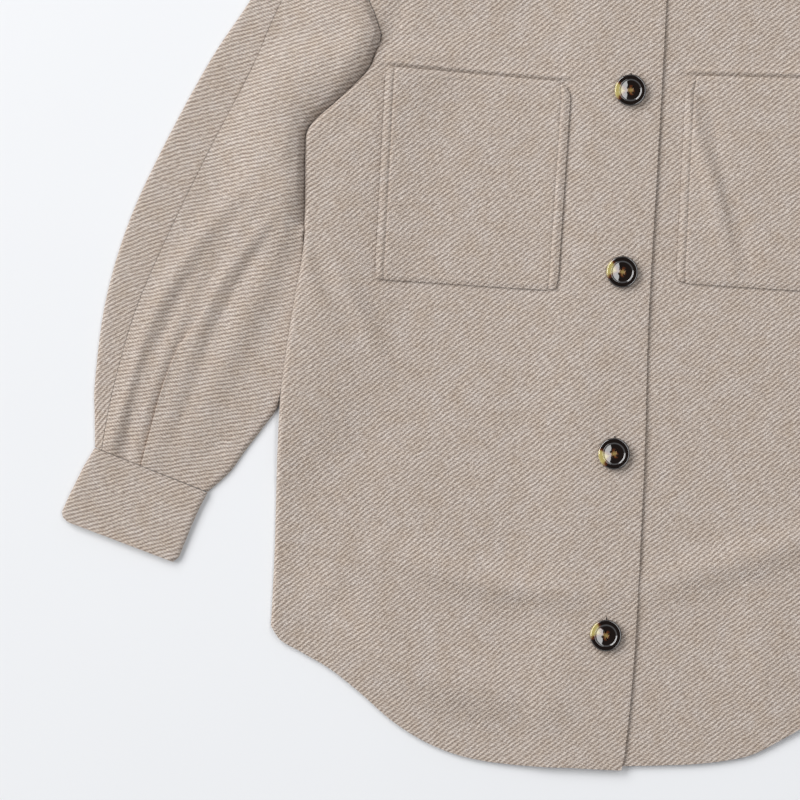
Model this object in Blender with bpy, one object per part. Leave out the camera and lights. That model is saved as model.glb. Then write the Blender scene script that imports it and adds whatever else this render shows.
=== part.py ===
"""A shirt jacket in thick napped wool twill, buttoned and laid flat on its back.

Places in the tables are millimetres on the flat garment: out from the centre front towards
either sleeve, and up from the hem towards the collar. The wearer's right is at -X, the collar
at +Y, and the garment lies on Z = 0. Every wall is an outer and an inner grid of places.
"""
import math
from collections import namedtuple

import bpy
import bmesh
import numpy as np

MM = 0.001

# Cloth and how the layers lie
CLOTH = 2.0
CUFF_CLOTH = 2.6
GAP = 0.3
SEAM = 0.5
POCKET_SPAN = (5.0, 0.0)
LAYER = CLOTH + GAP
EDGE_TURN = 4.5
TURN_STEPS = 3
SLEEVE_TOP = 2 * CLOTH + GAP
CUFF_TOP = 2 * CUFF_CLOTH + GAP

# The body where it lies over the inner edge of a sleeve
BODY_LIFT = 4.9
LIFT_RUN = 12.0
LIFT_LEAD = 5.5
LIFT_FADE = 28.0
UNDERARM_UP = 576.5
SIDE_CLEAR = 20.0

# Button front
PLACKET_FOOT = 41.0
PLACKET_RUN = 15.0
UNDER_EDGE = -24.0
BACK_HEM_TUCK = 1.5
BACK_NECK_MIDDLE = 764.0

# Buttons
BUTTON_COUNT = 5
BUTTON_FIRST_UP = 105.7
BUTTON_SPACING = 145.2
BUTTON_START = 0.6
BUTTON_DRIFT = -0.55
BUTTON_SIDES = 16
BUTTON_HOLE_RADIUS = 1.1
BUTTON_HOLE_OUT = 2.3
HOLE_SIDES = 6
HOLE_CUT_DEPTH = 20.0

# Shares of the way from the placket's foot to the side edge, one for each column of the body
ACROSS = [0.0, 0.1, 0.22, 0.42, 0.58, 0.72, 0.82, 0.88, 0.935, 0.98, 1.0]
NECK_SHARE = 0.22
TURN_COLUMN = len(ACROSS) - 2

# Heights on the side edge of the body's rows, hem corner to underarm, and then to the shoulder
SIDE_ROWS = [100, 140, 180, 215, 240, 262, 285, 315, 350, 385, 420, 455, 482, 497, 509, 521, 535,
             548, 558, 567, UNDERARM_UP]
ARMHOLE_ROWS = [590, 604, 625, 655, 695, 735]

# Shares of the sleeve's length, one for each row
SLEEVE_ROWS = [0, .03, .06, .10, .15, .21, .28, .35, .42, .49, .56, .63, .70, .76, .82, .88, .94, 1]

SIDE = [(267, 100), (267, 160), (268.5, 235), (268, 290), (262, 353), (256.5, 395), (256, 425),
        (258, 480), (255.5, 500), (235.5, 521), (213, 548), (205.5, 566), (201.5, UNDERARM_UP)]
ARMHOLE = [(201.5, UNDERARM_UP), (207.7, 593), (212.7, 604), (219, 630), (224, 665), (224.5, 700),
           (220.5, 735)]
SHOULDER_TIP = ARMHOLE[-1]
NECK_POINT = (80, 787)
FRONT_NECK = [(41, 714.5), (60, 735), (74, 762), NECK_POINT]
BACK_NECK = [(41, 767), (53, 770), (68, 778.5), NECK_POINT]

Band = namedtuple("Band", "out hem neck")
Front = namedtuple("Front", "side hem band edge pocket folds")
Fold = namedtuple("Fold", "start middle end width height")

# Edge of the right front, which laps over the left one, and the plain edge beneath it
LAPPED_EDGE = [(-18.3, -1.8), (-21.2, 22.6), (-24.4, 104), (-24.6, 248), (-22.4, 362),
               (-23.5, 480), (-24.3, 600), (-24.3, 702)]
HIDDEN_EDGE = [(UNDER_EDGE, 0), (UNDER_EDGE, 350), (UNDER_EDGE, 702)]

RIGHT = Front(
    side=-1,
    hem=[(PLACKET_FOOT, -2.0), (70.5, -1.1), (95, 1), (119, 6), (143.5, 15.5), (168, 30), (193, 50),
         (218, 68), (243, 81), (258.5, 89), (267, 100)],
    band=[Band(33.5, -1.7, 709.5), Band(26, -1.4, 705.5), Band(0, -1.6, 700)],
    edge=LAPPED_EDGE,
    pocket=[(51.5, 378.7), (197.5, 381), (48.5, 545.5), (197, 551)],
    folds=[Fold((238, 398), (210, 356), (189, 312), 10, 2.2),
           Fold((258, 412), (251, 385), (241, 356), 8, 1.8),
           Fold((150, 190), (95, 150), (40, 118), 22, 1.3)],
)
LEFT = Front(
    side=1,
    hem=[(PLACKET_FOOT, 3.3), (73.3, 5.9), (97.2, 9.5), (121, 15.5), (144.3, 28.6), (168, 44),
         (193, 63), (218, 80), (243, 93), (258.5, 101), (267, 112)],
    band=[Band(0, 0.6, 700)],
    edge=HIDDEN_EDGE,
    pocket=[(43, 389.7), (192, 387.5), (43, 555.5), (191, 559)],
    folds=[Fold((228, 385), (205, 345), (190, 300), 13, 2.0),
           Fold((140, 60), (118, 150), (102, 235), 20, 1.5)],
)

# The sleeve's lines from armhole to cuff: fold under the arm, pleat, seam, and outer fold
SLEEVE_INNER = [(202.5, UNDERARM_UP), (206.5, 566), (209, 557), (214.5, 547.5), (219.5, 535),
                (225, 515), (229, 492), (236, 455), (243, 410), (250, 360), (258, 310), (269, 277),
                (281, 258), (294.5, 238.5), (306, 221), (322.5, 204.5)]
SLEEVE_PLEAT = [(223.5, 655), (262, 560), (284, 500), (301, 444), (318.5, 382.5), (340, 336.5),
                (352, 316.5), (362.5, 286), (369, 258), (376.5, 222.9)]
SLEEVE_SEAM = [(225.8, 690), (254, 645), (282, 600.5), (304.5, 542.5), (332.5, 482), (366, 404),
               (388, 344), (401, 288), (406.5, 254), (408.7, 233.9)]
SLEEVE_OUTER = [(221.5, 735.5), (262, 681), (307.5, 599.5), (337, 550), (369, 484), (395.5, 419),
                (411.5, 354), (417, 289.5), (416, 262), (414.5, 236)]
SLEEVE_CROWN = [(202.5, UNDERARM_UP), (208.6, 593), (213.6, 604), (219.9, 630), (224.9, 665),
                (225.4, 700), (221.5, 735.5)]
SLEEVE_FOLDS = [
    Fold((245, 640), (287, 545), (318, 462), 22, 1.6),
    Fold((328, 470), (366, 372), (398, 262), 9, 1.7),
    Fold((308, 452), (350, 342), (383, 240), 7, 1.7),
    Fold((296, 440), (331, 345), (364, 232), 8, 2.4),
    Fold((262, 455), (300, 345), (345, 232), 12, 2.8),
]
PLEAT_START = 0.5
PLEAT_DEPTH = 1.3
PLEAT_STEP = 2.5
PLEAT_FADE = 28.0
FOLDS_CLEAR = 34.0
FOLDS_RUN = 20.0
FOLDS_START = 0.08

# Heights along the crown from one of the sleeve's lines to the next
CROWN_TO_PLEAT = 75.0
PLEAT_TO_SEAM = 35.0
SEAM_TO_OUTER = 45.0

# The cuff from its seam to its end: outer and inner edge at each row
CuffRow = namedtuple("CuffRow", "outer inner")
CUFF = [
    CuffRow((414.6, 235.3), (322.7, 203.9)),
    CuffRow((422.6, 220.3), (328.4, 192)),
    CuffRow((432, 199), (334.8, 175.4)),
    CuffRow((438.4, 183), (339.7, 161)),
    CuffRow((437.4, 178.5), (343, 151.5)),
    CuffRow((433.5, 175.2), (347.5, 147.3)),
]
CUFF_COLUMNS = 7

# The collar: stand and leaf, each a flattened ring from the centre front round the neck
STAND_FRONT_SEAM = [(3, 700.7), (30, 708.3), (58, 734), (72.5, 762.5), (78, 789.5)]
STAND_FRONT_TOP = [(3, 716), (33, 728), (57, 756), (70, 786), (75.5, 805)]
STAND_BACK_SEAM = [(78, 789.5), (62, 771), (40, 761), (0, 757.5)]
STAND_BACK_TOP = [(75.5, 805), (58, 801.5), (36, 800), (0, 799)]
LEAF_FRONT_FOLD = [(3, 717), (34, 729.5), (59, 757), (74, 788), (82, 808)]
LEAF_FRONT_EDGE = [(58, 648), (78, 677), (98, 718), (109, 755), (113, 786.5)]
LEAF_BACK_FOLD = [(82, 808), (62, 804), (38, 802), (0, 801)]
LEAF_BACK_EDGE = [(113, 786.5), (82, 790.5), (58, 776.5), (38, 770), (0, 766.5)]
STAND_TURN = 4.0
LEAF_TURN = 6.0
LEAF_DROP_START = 0.45
LEAF_DROP_RUN = 0.5
LEAF_LEAD = 4.0
RING_STEPS = 4
COLLAR_FRONT_COLUMNS = 7
COLLAR_BACK_COLUMNS = 6
COLLAR_ROWS = 4

POCKET_COLUMNS = 6
POCKET_ROWS = 6

# Profile of a button from the middle of its face to the middle of its back: radius and height
BUTTON_PROFILE = [(0.0, 2.5), (4.6, 2.5), (7.0, 2.9), (9.3, 4.1), (10.6, 4.4), (12.0, 3.9),
                  (12.7, 2.7), (12.2, 1.4), (9.5, 0.3), (6.0, 0.0), (0.0, 0.0)]

# A fold's samples along its line, and how far its ends are kept from vanishing
FOLD_SAMPLES = 25
FOLD_END = 0.06
FOLD_FULLNESS = 0.6

WOOL = {"name": "napped wool twill", "color": (0.46, 0.39, 0.34, 1.0), "roughness": 0.95}
HORN = {"name": "mottled brown button", "color": (0.045, 0.022, 0.012, 1.0), "roughness": 0.18}


def smooth(x):
    """0 below 0, 1 above 1, and an even S between them."""
    x = np.clip(x, 0.0, 1.0)
    return x * x * (3.0 - 2.0 * x)


def dense(points, steps=24):
    """Close places on a smooth curve through the points."""
    p = np.array(points, float)
    p = np.vstack([2 * p[0] - p[1], p, 2 * p[-1] - p[-2]])
    t = np.linspace(0.0, 1.0, steps, endpoint=False)[:, None]
    spans = []
    for a, b, c, d in zip(p, p[1:], p[2:], p[3:]):
        spans.append(b + 0.5 * t * (c - a + t * (2 * a - 5 * b + 4 * c - d
                                                 + t * (3 * (b - c) + d - a))))
    return np.vstack(spans + [p[-2:-1]])


def share(points, shares):
    """Places at the given shares of the length of the smooth curve through the points."""
    line = dense(points)
    length = np.concatenate([[0.0], np.cumsum(np.linalg.norm(np.diff(line, axis=0), axis=1))])
    return np.column_stack([np.interp(np.array(shares) * length[-1], length, line[:, k])
                            for k in range(2)])


def at_heights(points, ups):
    """Places at the given heights on the smooth curve through the points, which only climbs."""
    line = dense(points)
    return np.column_stack([np.interp(ups, line[:, 1], line[:, 0]), ups])


def straight(start, end, shares):
    """Places on the straight line from start to end."""
    s = np.array(shares, float)[:, None]
    return (1 - s) * np.array(start, float) + s * np.array(end, float)


def filled(first, last, left, right, across, along):
    """A grid of places between four border lines: rows along, columns across."""
    u = np.array(across, float)[None, :, None]
    v = np.array(along, float)[:, None, None]
    first, last, left, right = (np.array(line, float) for line in (first, last, left, right))
    corners = ((1 - u) * (1 - v) * first[0] + u * (1 - v) * first[-1]
               + (1 - u) * v * last[0] + u * v * last[-1])
    return ((1 - v) * first[None] + v * last[None]
            + (1 - u) * left[:, None] + u * right[:, None] - corners)


def ridges(places, folds):
    """How much the folds raise the cloth at each place: rounded ridges that fade at their ends."""
    height = np.zeros(places.shape[:-1])
    for fold in folds:
        line = share([fold.start, fold.middle, fold.end], np.linspace(0.0, 1.0, FOLD_SAMPLES))
        apart = np.linalg.norm(places[..., None, :] - line, axis=-1)
        along = np.clip(apart.argmin(axis=-1) / (FOLD_SAMPLES - 1), FOLD_END, 1 - FOLD_END)
        taper = np.sin(math.pi * along) ** FOLD_FULLNESS
        profile = np.exp(-(apart.min(axis=-1) / fold.width) ** 2)
        height = np.maximum(height, fold.height * taper * profile)
    return height


def body_lift(places):
    """How far the body is raised by the inner edge of the sleeve beneath it."""
    out, up = places[..., 0], places[..., 1]
    line = np.array(SLEEVE_INNER)[::-1]
    edge = np.interp(up, line[:, 1], line[:, 0])
    near = smooth(1 + (out - edge + LIFT_LEAD) / LIFT_RUN)
    return BODY_LIFT * near * smooth((UNDERARM_UP - up) / LIFT_FADE)


def overlap_lift(places):
    """How far the right front is raised where it laps over the left one."""
    return LAYER * smooth((PLACKET_FOOT - places[..., 0]) / PLACKET_RUN)


def side_lines(front):
    """Places of the body's rows on its side edge, below and above the underarm."""
    corner = front.hem[-1]
    low = at_heights([corner] + [p for p in SIDE if p[1] > corner[1] + SIDE_CLEAR],
                     [corner[1]] + SIDE_ROWS[1:])
    high = at_heights(ARMHOLE, [UNDERARM_UP] + ARMHOLE_ROWS)
    return low, high


def body_plan(front, neck):
    """Places of one half of the body, placket's foot to side edge, hem to neck and shoulder."""
    low, high = side_lines(front)
    low_along = (low[:, 1] - low[0, 1]) / (UNDERARM_UP - low[0, 1])
    high_along = (high[:, 1] - UNDERARM_UP) / (high[-1, 1] - UNDERARM_UP)
    waist = straight((PLACKET_FOOT, UNDERARM_UP), low[-1], ACROSS)
    lower = filled(share(front.hem, ACROSS), waist,
                   straight(front.hem[0], waist[0], low_along), low, ACROSS, low_along)
    in_neck = [a for a in ACROSS if a <= NECK_SHARE]
    on_shoulder = [(a - NECK_SHARE) / (1 - NECK_SHARE) for a in ACROSS if a > NECK_SHARE]
    top = np.vstack([share(neck, [a / NECK_SHARE for a in in_neck]),
                     straight(NECK_POINT, SHOULDER_TIP, on_shoulder)])
    upper = filled(waist, top, straight(waist[0], neck[0], high_along), high, ACROSS, high_along)
    return np.vstack([lower, upper[1:]]), low_along, high_along


def band_plan(front, low_along, high_along, with_edge=True):
    """Places of the columns between the placket's foot and the front edge."""
    columns = []
    for band in front.band:
        low = straight((band.out, band.hem), (band.out, UNDERARM_UP), low_along)
        high = straight((band.out, UNDERARM_UP), (band.out, band.neck), high_along)
        columns.append(np.vstack([low, high[1:]]))
    if with_edge:
        rows = columns[-1][:, 1]
        columns.append(at_heights(front.edge, rows))
    return np.stack(columns, axis=1)


def wall_points(places, low, side, cloth=CLOTH):
    """Outer and inner places of a wall whose underside is at the heights given."""
    x, y = side * places[..., 0], places[..., 1]
    return np.stack([x, y, low + cloth], axis=-1), np.stack([x, y, low], axis=-1)


def turned(edge, inward, middle, half, radius, cloth, angle, side):
    """Outer and inner place where a wall turns over at an edge; 0 is its top, 180 its underside."""
    sine, cosine = math.sin(math.radians(angle)), math.cos(math.radians(angle))
    places = []
    for reach, rise in ((radius, half), (radius - cloth, half - cloth)):
        place = edge + inward * (radius - reach * sine)
        places.append((side * place[0], place[1], middle + rise * cosine))
    return places


def front_wall(front, lapped):
    """One front: flat on the back, turned down to the floor along its side edge."""
    plan, low_along, high_along = body_plan(front, FRONT_NECK)
    band = band_plan(front, low_along, high_along)
    places = np.concatenate([band[:, ::-1], plan[:, :TURN_COLUMN + 1]], axis=1)
    floor = body_lift(places)
    low = floor + LAYER + ridges(places, front.folds)
    if lapped:
        low = low + overlap_lift(places)
    outer, inner = wall_points(places, low, front.side)
    edge, inside = plan[:, -1], plan[:, TURN_COLUMN]
    turned_rows = len(low_along) - 1
    extra_outer, extra_inner = [], []
    for row in range(len(edge)):
        toward = inside[row] - edge[row]
        radius = np.linalg.norm(toward)
        inward = toward / radius
        top = outer[row, -1, 2]
        base = float(body_lift(edge[row]))
        outs, ins = [], []
        for step in range(1, TURN_STEPS + 1):
            angle = 90.0 * step / TURN_STEPS
            if row < turned_rows:
                o, i = turned(edge[row], inward, base, top - base, radius, CLOTH, angle, front.side)
            else:
                place = edge[row] + inward * radius * (1 - math.sin(math.radians(angle)))
                o = (front.side * place[0], place[1], top)
                i = (front.side * place[0], place[1], top - CLOTH)
            outs.append(o)
            ins.append(i)
        extra_outer.append(outs)
        extra_inner.append(ins)
    return (np.concatenate([outer, np.array(extra_outer)], axis=1),
            np.concatenate([inner, np.array(extra_inner)], axis=1))


def back_wall():
    """The back, flat on the floor under both fronts, from one side fold to the other."""
    halves = []
    for front in (LEFT, RIGHT):
        plan, low_along, high_along = body_plan(front, BACK_NECK)
        armhole = len(low_along)
        plan[armhole:, TURN_COLUMN] = plan[armhole:, -1]
        plan = plan[:, :TURN_COLUMN + 1]
        plan[..., 0] *= front.side
        halves.append(plan)
    middle = RIGHT._replace(band=[RIGHT.band[-1]._replace(neck=BACK_NECK_MIDDLE)])
    centre = band_plan(middle, low_along, high_along, with_edge=False)
    left, right = halves
    places = np.concatenate([right[:, ::-1], centre, left], axis=1)
    places[0, :, 1] += BACK_HEM_TUCK
    flat = np.stack([np.abs(places[..., 0]), places[..., 1]], axis=-1)
    return wall_points(places, body_lift(flat), 1)


def sleeve_lines():
    """The sleeve's four lines at every row, each starting on the crown."""
    lines = [share(line, SLEEVE_ROWS)
             for line in (SLEEVE_INNER, SLEEVE_PLEAT, SLEEVE_SEAM, SLEEVE_OUTER)]
    for line in lines:
        line[0] = at_heights(SLEEVE_CROWN, [line[0, 1]])[0]
    return lines


def crown(first, last, shares):
    """Places on the sleeve's crown between two of its heights."""
    ups = first[1] + np.array(shares) * (last[1] - first[1])
    return at_heights(SLEEVE_CROWN, ups)


def sleeve_block(left, right, across):
    """Places between two of the sleeve's lines, armhole to cuff."""
    return filled(crown(left[0], right[0], across), straight(left[-1], right[-1], across),
                  left, right, across, SLEEVE_ROWS)


def sleeve_top(places, inner):
    """Height of the sleeve's upper face, raised in folds clear of the body's edge."""
    rows = np.array(SLEEVE_ROWS)[:, None]
    away = np.linalg.norm(places - inner[:, None], axis=-1)
    clear = smooth((away - FOLDS_CLEAR * (1 - rows)) / FOLDS_RUN)
    ends = smooth(rows / FOLDS_START)
    return SLEEVE_TOP + ridges(places, SLEEVE_FOLDS) * clear * ends


def upper_sleeve_wall(side):
    """The upper sleeve, from the seam near the outer fold to the fold under the arm."""
    inner, pleat, seam = sleeve_lines()[:3]
    step = (seam - pleat) / np.linalg.norm(seam - pleat, axis=1)[:, None] * PLEAT_STEP
    ramp = smooth((np.array(SLEEVE_ROWS) - PLEAT_START) / (1 - PLEAT_START))[:, None]
    foot = pleat + step
    foot[0] = crown(pleat[0], seam[0], [PLEAT_STEP / PLEAT_TO_SEAM])[0]
    seam_side = sleeve_block(foot, seam, [0, 0.3, 0.62, 1])[:, ::-1]
    turn = (pleat - inner) / np.linalg.norm(pleat - inner, axis=1)[:, None] * EDGE_TURN
    start = inner + turn
    start[0] = crown(inner[0], pleat[0], [EDGE_TURN / CROWN_TO_PLEAT])[0]
    arm_side = sleeve_block(pleat, start, [0, 0.2, 0.4, 0.6, 0.8, 1])
    places = np.concatenate([seam_side, arm_side], axis=1)
    top = sleeve_top(places, inner)
    fade = smooth(1 - np.linalg.norm(places - pleat[:, None], axis=-1) / PLEAT_FADE)
    top[:, seam_side.shape[1]:] += (PLEAT_DEPTH * ramp * fade)[:, seam_side.shape[1]:]
    outer, under = wall_points(places, top - CLOTH, side)
    outs, ins = [], []
    for row in range(len(inner)):
        pairs = [turned(inner[row], turn[row] / EDGE_TURN, 0.0, outer[row, -1, 2], EDGE_TURN, CLOTH,
                        90.0 * k / TURN_STEPS, side) for k in range(1, TURN_STEPS + 1)]
        outs.append([p[0] for p in pairs])
        ins.append([p[1] for p in pairs])
    return (np.concatenate([outer, np.array(outs)], axis=1),
            np.concatenate([under, np.array(ins)], axis=1))


def under_sleeve_wall(side):
    """The under sleeve: a strip on top outside the seam, round the outer fold, and the underside."""
    inner, pleat, seam, outer_fold = sleeve_lines()
    away = seam - outer_fold
    inward = away / np.linalg.norm(away, axis=1)[:, None]
    run = np.gradient(seam, axis=0)
    aside = np.column_stack([-run[:, 1], run[:, 0]]) / np.linalg.norm(run, axis=1)[:, None]
    strip_start = seam + aside * SEAM
    turn_start = outer_fold + inward * EDGE_TURN
    strip_start[0] = crown(seam[0], outer_fold[0], [2 * SEAM / SEAM_TO_OUTER])[0]
    turn_start[0] = crown(seam[0], outer_fold[0], [1 - EDGE_TURN / SEAM_TO_OUTER])[0]
    strip = sleeve_block(strip_start, turn_start, [0, 0.5, 1])
    strip_top = sleeve_top(strip, inner)
    outer, under = wall_points(strip, strip_top - CLOTH, side)
    outs, ins = [], []
    steps = 2 * TURN_STEPS
    for row in range(len(inner)):
        half = strip_top[row, -1] / 2
        pairs = [turned(outer_fold[row], inward[row], half, half, EDGE_TURN, CLOTH,
                        180.0 * k / steps, side) for k in range(1, steps)]
        outs.append([p[0] for p in pairs])
        ins.append([p[1] for p in pairs])
    toward = (pleat - inner) / np.linalg.norm(pleat - inner, axis=1)[:, None]
    stop = inner + toward * EDGE_TURN
    stop[0] = crown(inner[0], pleat[0], [EDGE_TURN / CROWN_TO_PLEAT])[0]
    floor = sleeve_block(stop, turn_start, [0, 0.17, 0.34, 0.5, 0.66, 0.83, 1])[:, ::-1]
    floor_inner, floor_outer = wall_points(floor, np.zeros(floor.shape[:2]), side)
    return (np.concatenate([outer, np.array(outs), floor_outer], axis=1),
            np.concatenate([under, np.array(ins), floor_inner], axis=1))


def ring_row(left, right, top_line, low_line, high, low, radius, cloth, side):
    """Outer and inner places round one flattened ring: over, round, back under, and round."""
    outs, ins = [], []
    for place, z in zip(top_line, high):
        outs.append((side * place[0], place[1], z))
        ins.append((side * place[0], place[1], z - cloth))
    turns = [(right, top_line[-1], high[-1], low[0], range(1, RING_STEPS))]
    if left is not None:
        turns.append((left, top_line[0], high[0], low[-1], range(RING_STEPS - 1, 0, -1)))
    for number, (edge, inside, z_high, z_low, steps) in enumerate(turns):
        toward = np.array(inside) - np.array(edge)
        inward = toward / np.linalg.norm(toward)
        half, middle = (z_high - z_low) / 2, (z_high + z_low) / 2
        for k in steps:
            o, i = turned(np.array(edge), inward, middle, half, radius, cloth,
                          180.0 * k / RING_STEPS, side)
            outs.append(o)
            ins.append(i)
        if number == 0:
            for place, z in zip(low_line, low):
                outs.append((side * place[0], place[1], z))
                ins.append((side * place[0], place[1], z + cloth))
    return outs, ins


def cuff_wall(side):
    """A closed cuff, a flattened tube of stiffened cloth."""
    outer, inner = [], []
    for row in CUFF:
        a, b = np.array(row.outer), np.array(row.inner)
        reach = EDGE_TURN / np.linalg.norm(b - a)
        line = straight(a, b, np.linspace(reach, 1 - reach, CUFF_COLUMNS))
        outs, ins = ring_row(a, b, line, line[::-1], [CUFF_TOP] * len(line), [0.0] * len(line),
                             EDGE_TURN, CUFF_CLOTH, side)
        outer.append(outs)
        inner.append(ins)
    return np.array(outer), np.array(inner)


def half_ring(front_first, front_last, back_first, back_last, radius):
    """Front and back places of one half of a collar piece, clear of its side fold, and the fold."""
    along = np.linspace(0.0, 1.0, COLLAR_ROWS)
    ahead = np.linspace(0.0, 1.0, COLLAR_FRONT_COLUMNS)
    behind = np.linspace(0.0, 1.0, COLLAR_BACK_COLUMNS)
    fold = straight(front_first[-1], front_last[-1], along)
    front = filled(share(front_first, ahead), share(front_last, ahead),
                   straight(front_first[0], front_last[0], along), fold, ahead, along)
    back = filled(share(back_first, behind), share(back_last, behind),
                  fold, straight(back_first[-1], back_last[-1], along), behind, along)
    toward = np.array((-1.0, 0.0)) * radius
    front[:, -1] = fold + toward
    back[:, 0] = fold + toward
    return front, back, fold


def collar_wall(front, back, fold, front_high, back_low, radius):
    """A collar piece: the right front half, round the neck behind, and the left front half."""
    outer, inner = [], []
    for row in range(len(fold)):
        outs, ins = [], []
        for side in (-1, 1):
            o, i = ring_row(None, fold[row], front[row], back[row], front_high[row],
                            np.full(back.shape[1], back_low), radius, CLOTH, side)
            if side == 1:
                o, i = o[:-1][::-1], i[:-1][::-1]
            outs += o
            ins += i
        outer.append(outs)
        inner.append(ins)
    return np.array(outer), np.array(inner)


def stand_wall():
    """The collar stand, inside the neck: its back half lies on the back, its front half above."""
    front, back, fold = half_ring(STAND_FRONT_SEAM, STAND_FRONT_TOP, STAND_BACK_SEAM,
                                  STAND_BACK_TOP, STAND_TURN)
    high = np.full(front.shape[:2], 2 * LAYER + CLOTH)
    return collar_wall(front, back, fold, high, LAYER, STAND_TURN)


def leaf_wall():
    """The collar leaf, over the stand and down on the fronts, with its back under the stand."""
    front, back, fold = half_ring(LEAF_FRONT_FOLD, LEAF_FRONT_EDGE, LEAF_BACK_FOLD,
                                  LEAF_BACK_EDGE, LEAF_TURN)
    down = smooth((np.linspace(0.0, 1.0, COLLAR_ROWS)[:, None] - LEAF_DROP_START) / LEAF_DROP_RUN)
    raised = smooth((PLACKET_FOOT + LEAF_LEAD - front[..., 0]) / PLACKET_RUN)
    raised = np.maximum(1 - down, raised)
    high = 2 * LAYER + CLOTH + LAYER * raised
    return collar_wall(front, back, fold, high, 0.0, LEAF_TURN)


def pocket_wall(front):
    """A patch pocket, a thickness above the front it is sewn on."""
    across = np.linspace(0.0, 1.0, POCKET_COLUMNS)
    along = np.linspace(0.0, 1.0, POCKET_ROWS)
    low_in, low_out, high_in, high_out = front.pocket
    places = filled(straight(low_in, low_out, across), straight(high_in, high_out, across),
                    straight(low_in, high_in, along), straight(low_out, high_out, along),
                    across, along)
    low = body_lift(places + POCKET_SPAN) + ridges(places, front.folds) + 2 * LAYER
    return wall_points(places, low, front.side)


def new_material(finish):
    """A material with the finish's colour and roughness."""
    material = bpy.data.materials.new(finish["name"])
    material.use_nodes = True
    shader = material.node_tree.nodes["Principled BSDF"]
    shader.inputs["Base Color"].default_value = finish["color"]
    shader.inputs["Roughness"].default_value = finish["roughness"]
    shader.inputs["Metallic"].default_value = 0.0
    material.diffuse_color = finish["color"]
    return material


def add_object(name, mesh, finish, origin=(0.0, 0.0, 0.0)):
    """A named object with its own material, placed at its origin."""
    mesh.materials.append(new_material(finish))
    thing = bpy.data.objects.new(name, mesh)
    thing.location = origin
    bpy.context.scene.collection.objects.link(thing)
    return thing


def add_wall(name, outer, inner, centre, closed=False):
    """A closed wall between two grids. closed joins its last column to its first.

    Each four-sided cell is cut along the same slant on both sides of the garment and on both
    faces of the wall, so that walls made on the same places lie evenly on each other.
    """
    rows, columns = outer.shape[:2]
    points = (np.concatenate([outer.reshape(-1, 3), inner.reshape(-1, 3)]) - centre) * MM
    offset = rows * columns
    spans = columns if closed else columns - 1
    from_middle = np.abs(outer[..., 0]).ravel()
    faces = []

    def quad(a, b, c, d):
        faces.append((a, b, c))
        faces.append((a, c, d))

    for r in range(rows - 1):
        for c in range(spans):
            n = (c + 1) % columns
            ring = [r * columns + c, r * columns + n, (r + 1) * columns + n, (r + 1) * columns + c]
            if from_middle[ring[0]] > from_middle[ring[1]]:
                ring = ring[1:] + ring[:1]
            quad(*ring)
            quad(*(offset + i for i in ring))
    for c in range(spans):
        n = (c + 1) % columns
        last = (rows - 1) * columns
        quad(n, c, offset + c, offset + n)
        quad(last + c, last + n, offset + last + n, offset + last + c)
    if not closed:
        for a in (0, columns - 1):
            for r in range(rows - 1):
                low, high = a + r * columns, a + (r + 1) * columns
                quad(low, high, offset + high, offset + low)
    mesh = bpy.data.meshes.new(name)
    mesh.from_pydata([tuple(p) for p in points], [], faces)
    outward(mesh)
    return add_object(name, mesh, WOOL)


def outward(mesh):
    """Turn every face of a closed mesh outwards."""
    work = bmesh.new()
    work.from_mesh(mesh)
    bmesh.ops.recalc_face_normals(work, faces=work.faces)
    if work.calc_volume(signed=True) < 0:
        bmesh.ops.reverse_faces(work, faces=work.faces)
    work.to_mesh(mesh)
    work.free()
    mesh.shade_smooth()
    mesh.set_sharp_from_angle(angle=math.radians(40))


def turned_mesh(name, profile, sides):
    """A closed turned shape from a profile that starts and ends on its axis."""
    work = bmesh.new()
    verts = [work.verts.new((r * MM, 0.0, z * MM)) for r, z in profile]
    edges = [work.edges.new(pair) for pair in zip(verts, verts[1:])]
    bmesh.ops.spin(work, geom=verts + edges, cent=(0, 0, 0), axis=(0, 0, 1),
                   angle=2 * math.pi, steps=sides, use_merge=True, use_duplicate=False)
    bmesh.ops.remove_doubles(work, verts=work.verts, dist=0.01 * MM)
    mesh = bpy.data.meshes.new(name)
    work.to_mesh(mesh)
    work.free()
    outward(mesh)
    return mesh


def hole_cutter():
    """Four pins that cut the thread holes of a button."""
    work = bmesh.new()
    for quarter in range(4):
        angle = math.pi / 2 * quarter + math.pi / 4
        out = BUTTON_HOLE_OUT * MM
        made = bmesh.ops.create_cone(work, cap_ends=True, segments=HOLE_SIDES,
                                     radius1=BUTTON_HOLE_RADIUS * MM,
                                     radius2=BUTTON_HOLE_RADIUS * MM,
                                     depth=HOLE_CUT_DEPTH * MM)
        bmesh.ops.translate(work, verts=made["verts"],
                            vec=(out * math.cos(angle), out * math.sin(angle), 0.0))
    mesh = bpy.data.meshes.new("button holes")
    work.to_mesh(mesh)
    work.free()
    cutter = bpy.data.objects.new("button holes", mesh)
    cutter.hide_render = True
    cutter.display_type = "WIRE"
    bpy.context.scene.collection.objects.link(cutter)
    return cutter


def add_buttons(centre):
    """Turned four-hole buttons down the right front, each sewn just above its cloth."""
    for number in range(BUTTON_COUNT):
        place = np.array((BUTTON_START + number * BUTTON_DRIFT,
                          BUTTON_FIRST_UP + number * BUTTON_SPACING,
                          3 * LAYER))
        origin = (place - centre) * MM
        cutter = hole_cutter()
        cutter.location = origin
        mesh = turned_mesh(f"button {number + 1}", BUTTON_PROFILE, BUTTON_SIDES)
        button = add_object(f"button_{number + 1}", mesh, HORN, origin)
        cut = button.modifiers.new("thread holes", "BOOLEAN")
        cut.operation = "DIFFERENCE"
        cut.object = cutter


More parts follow.
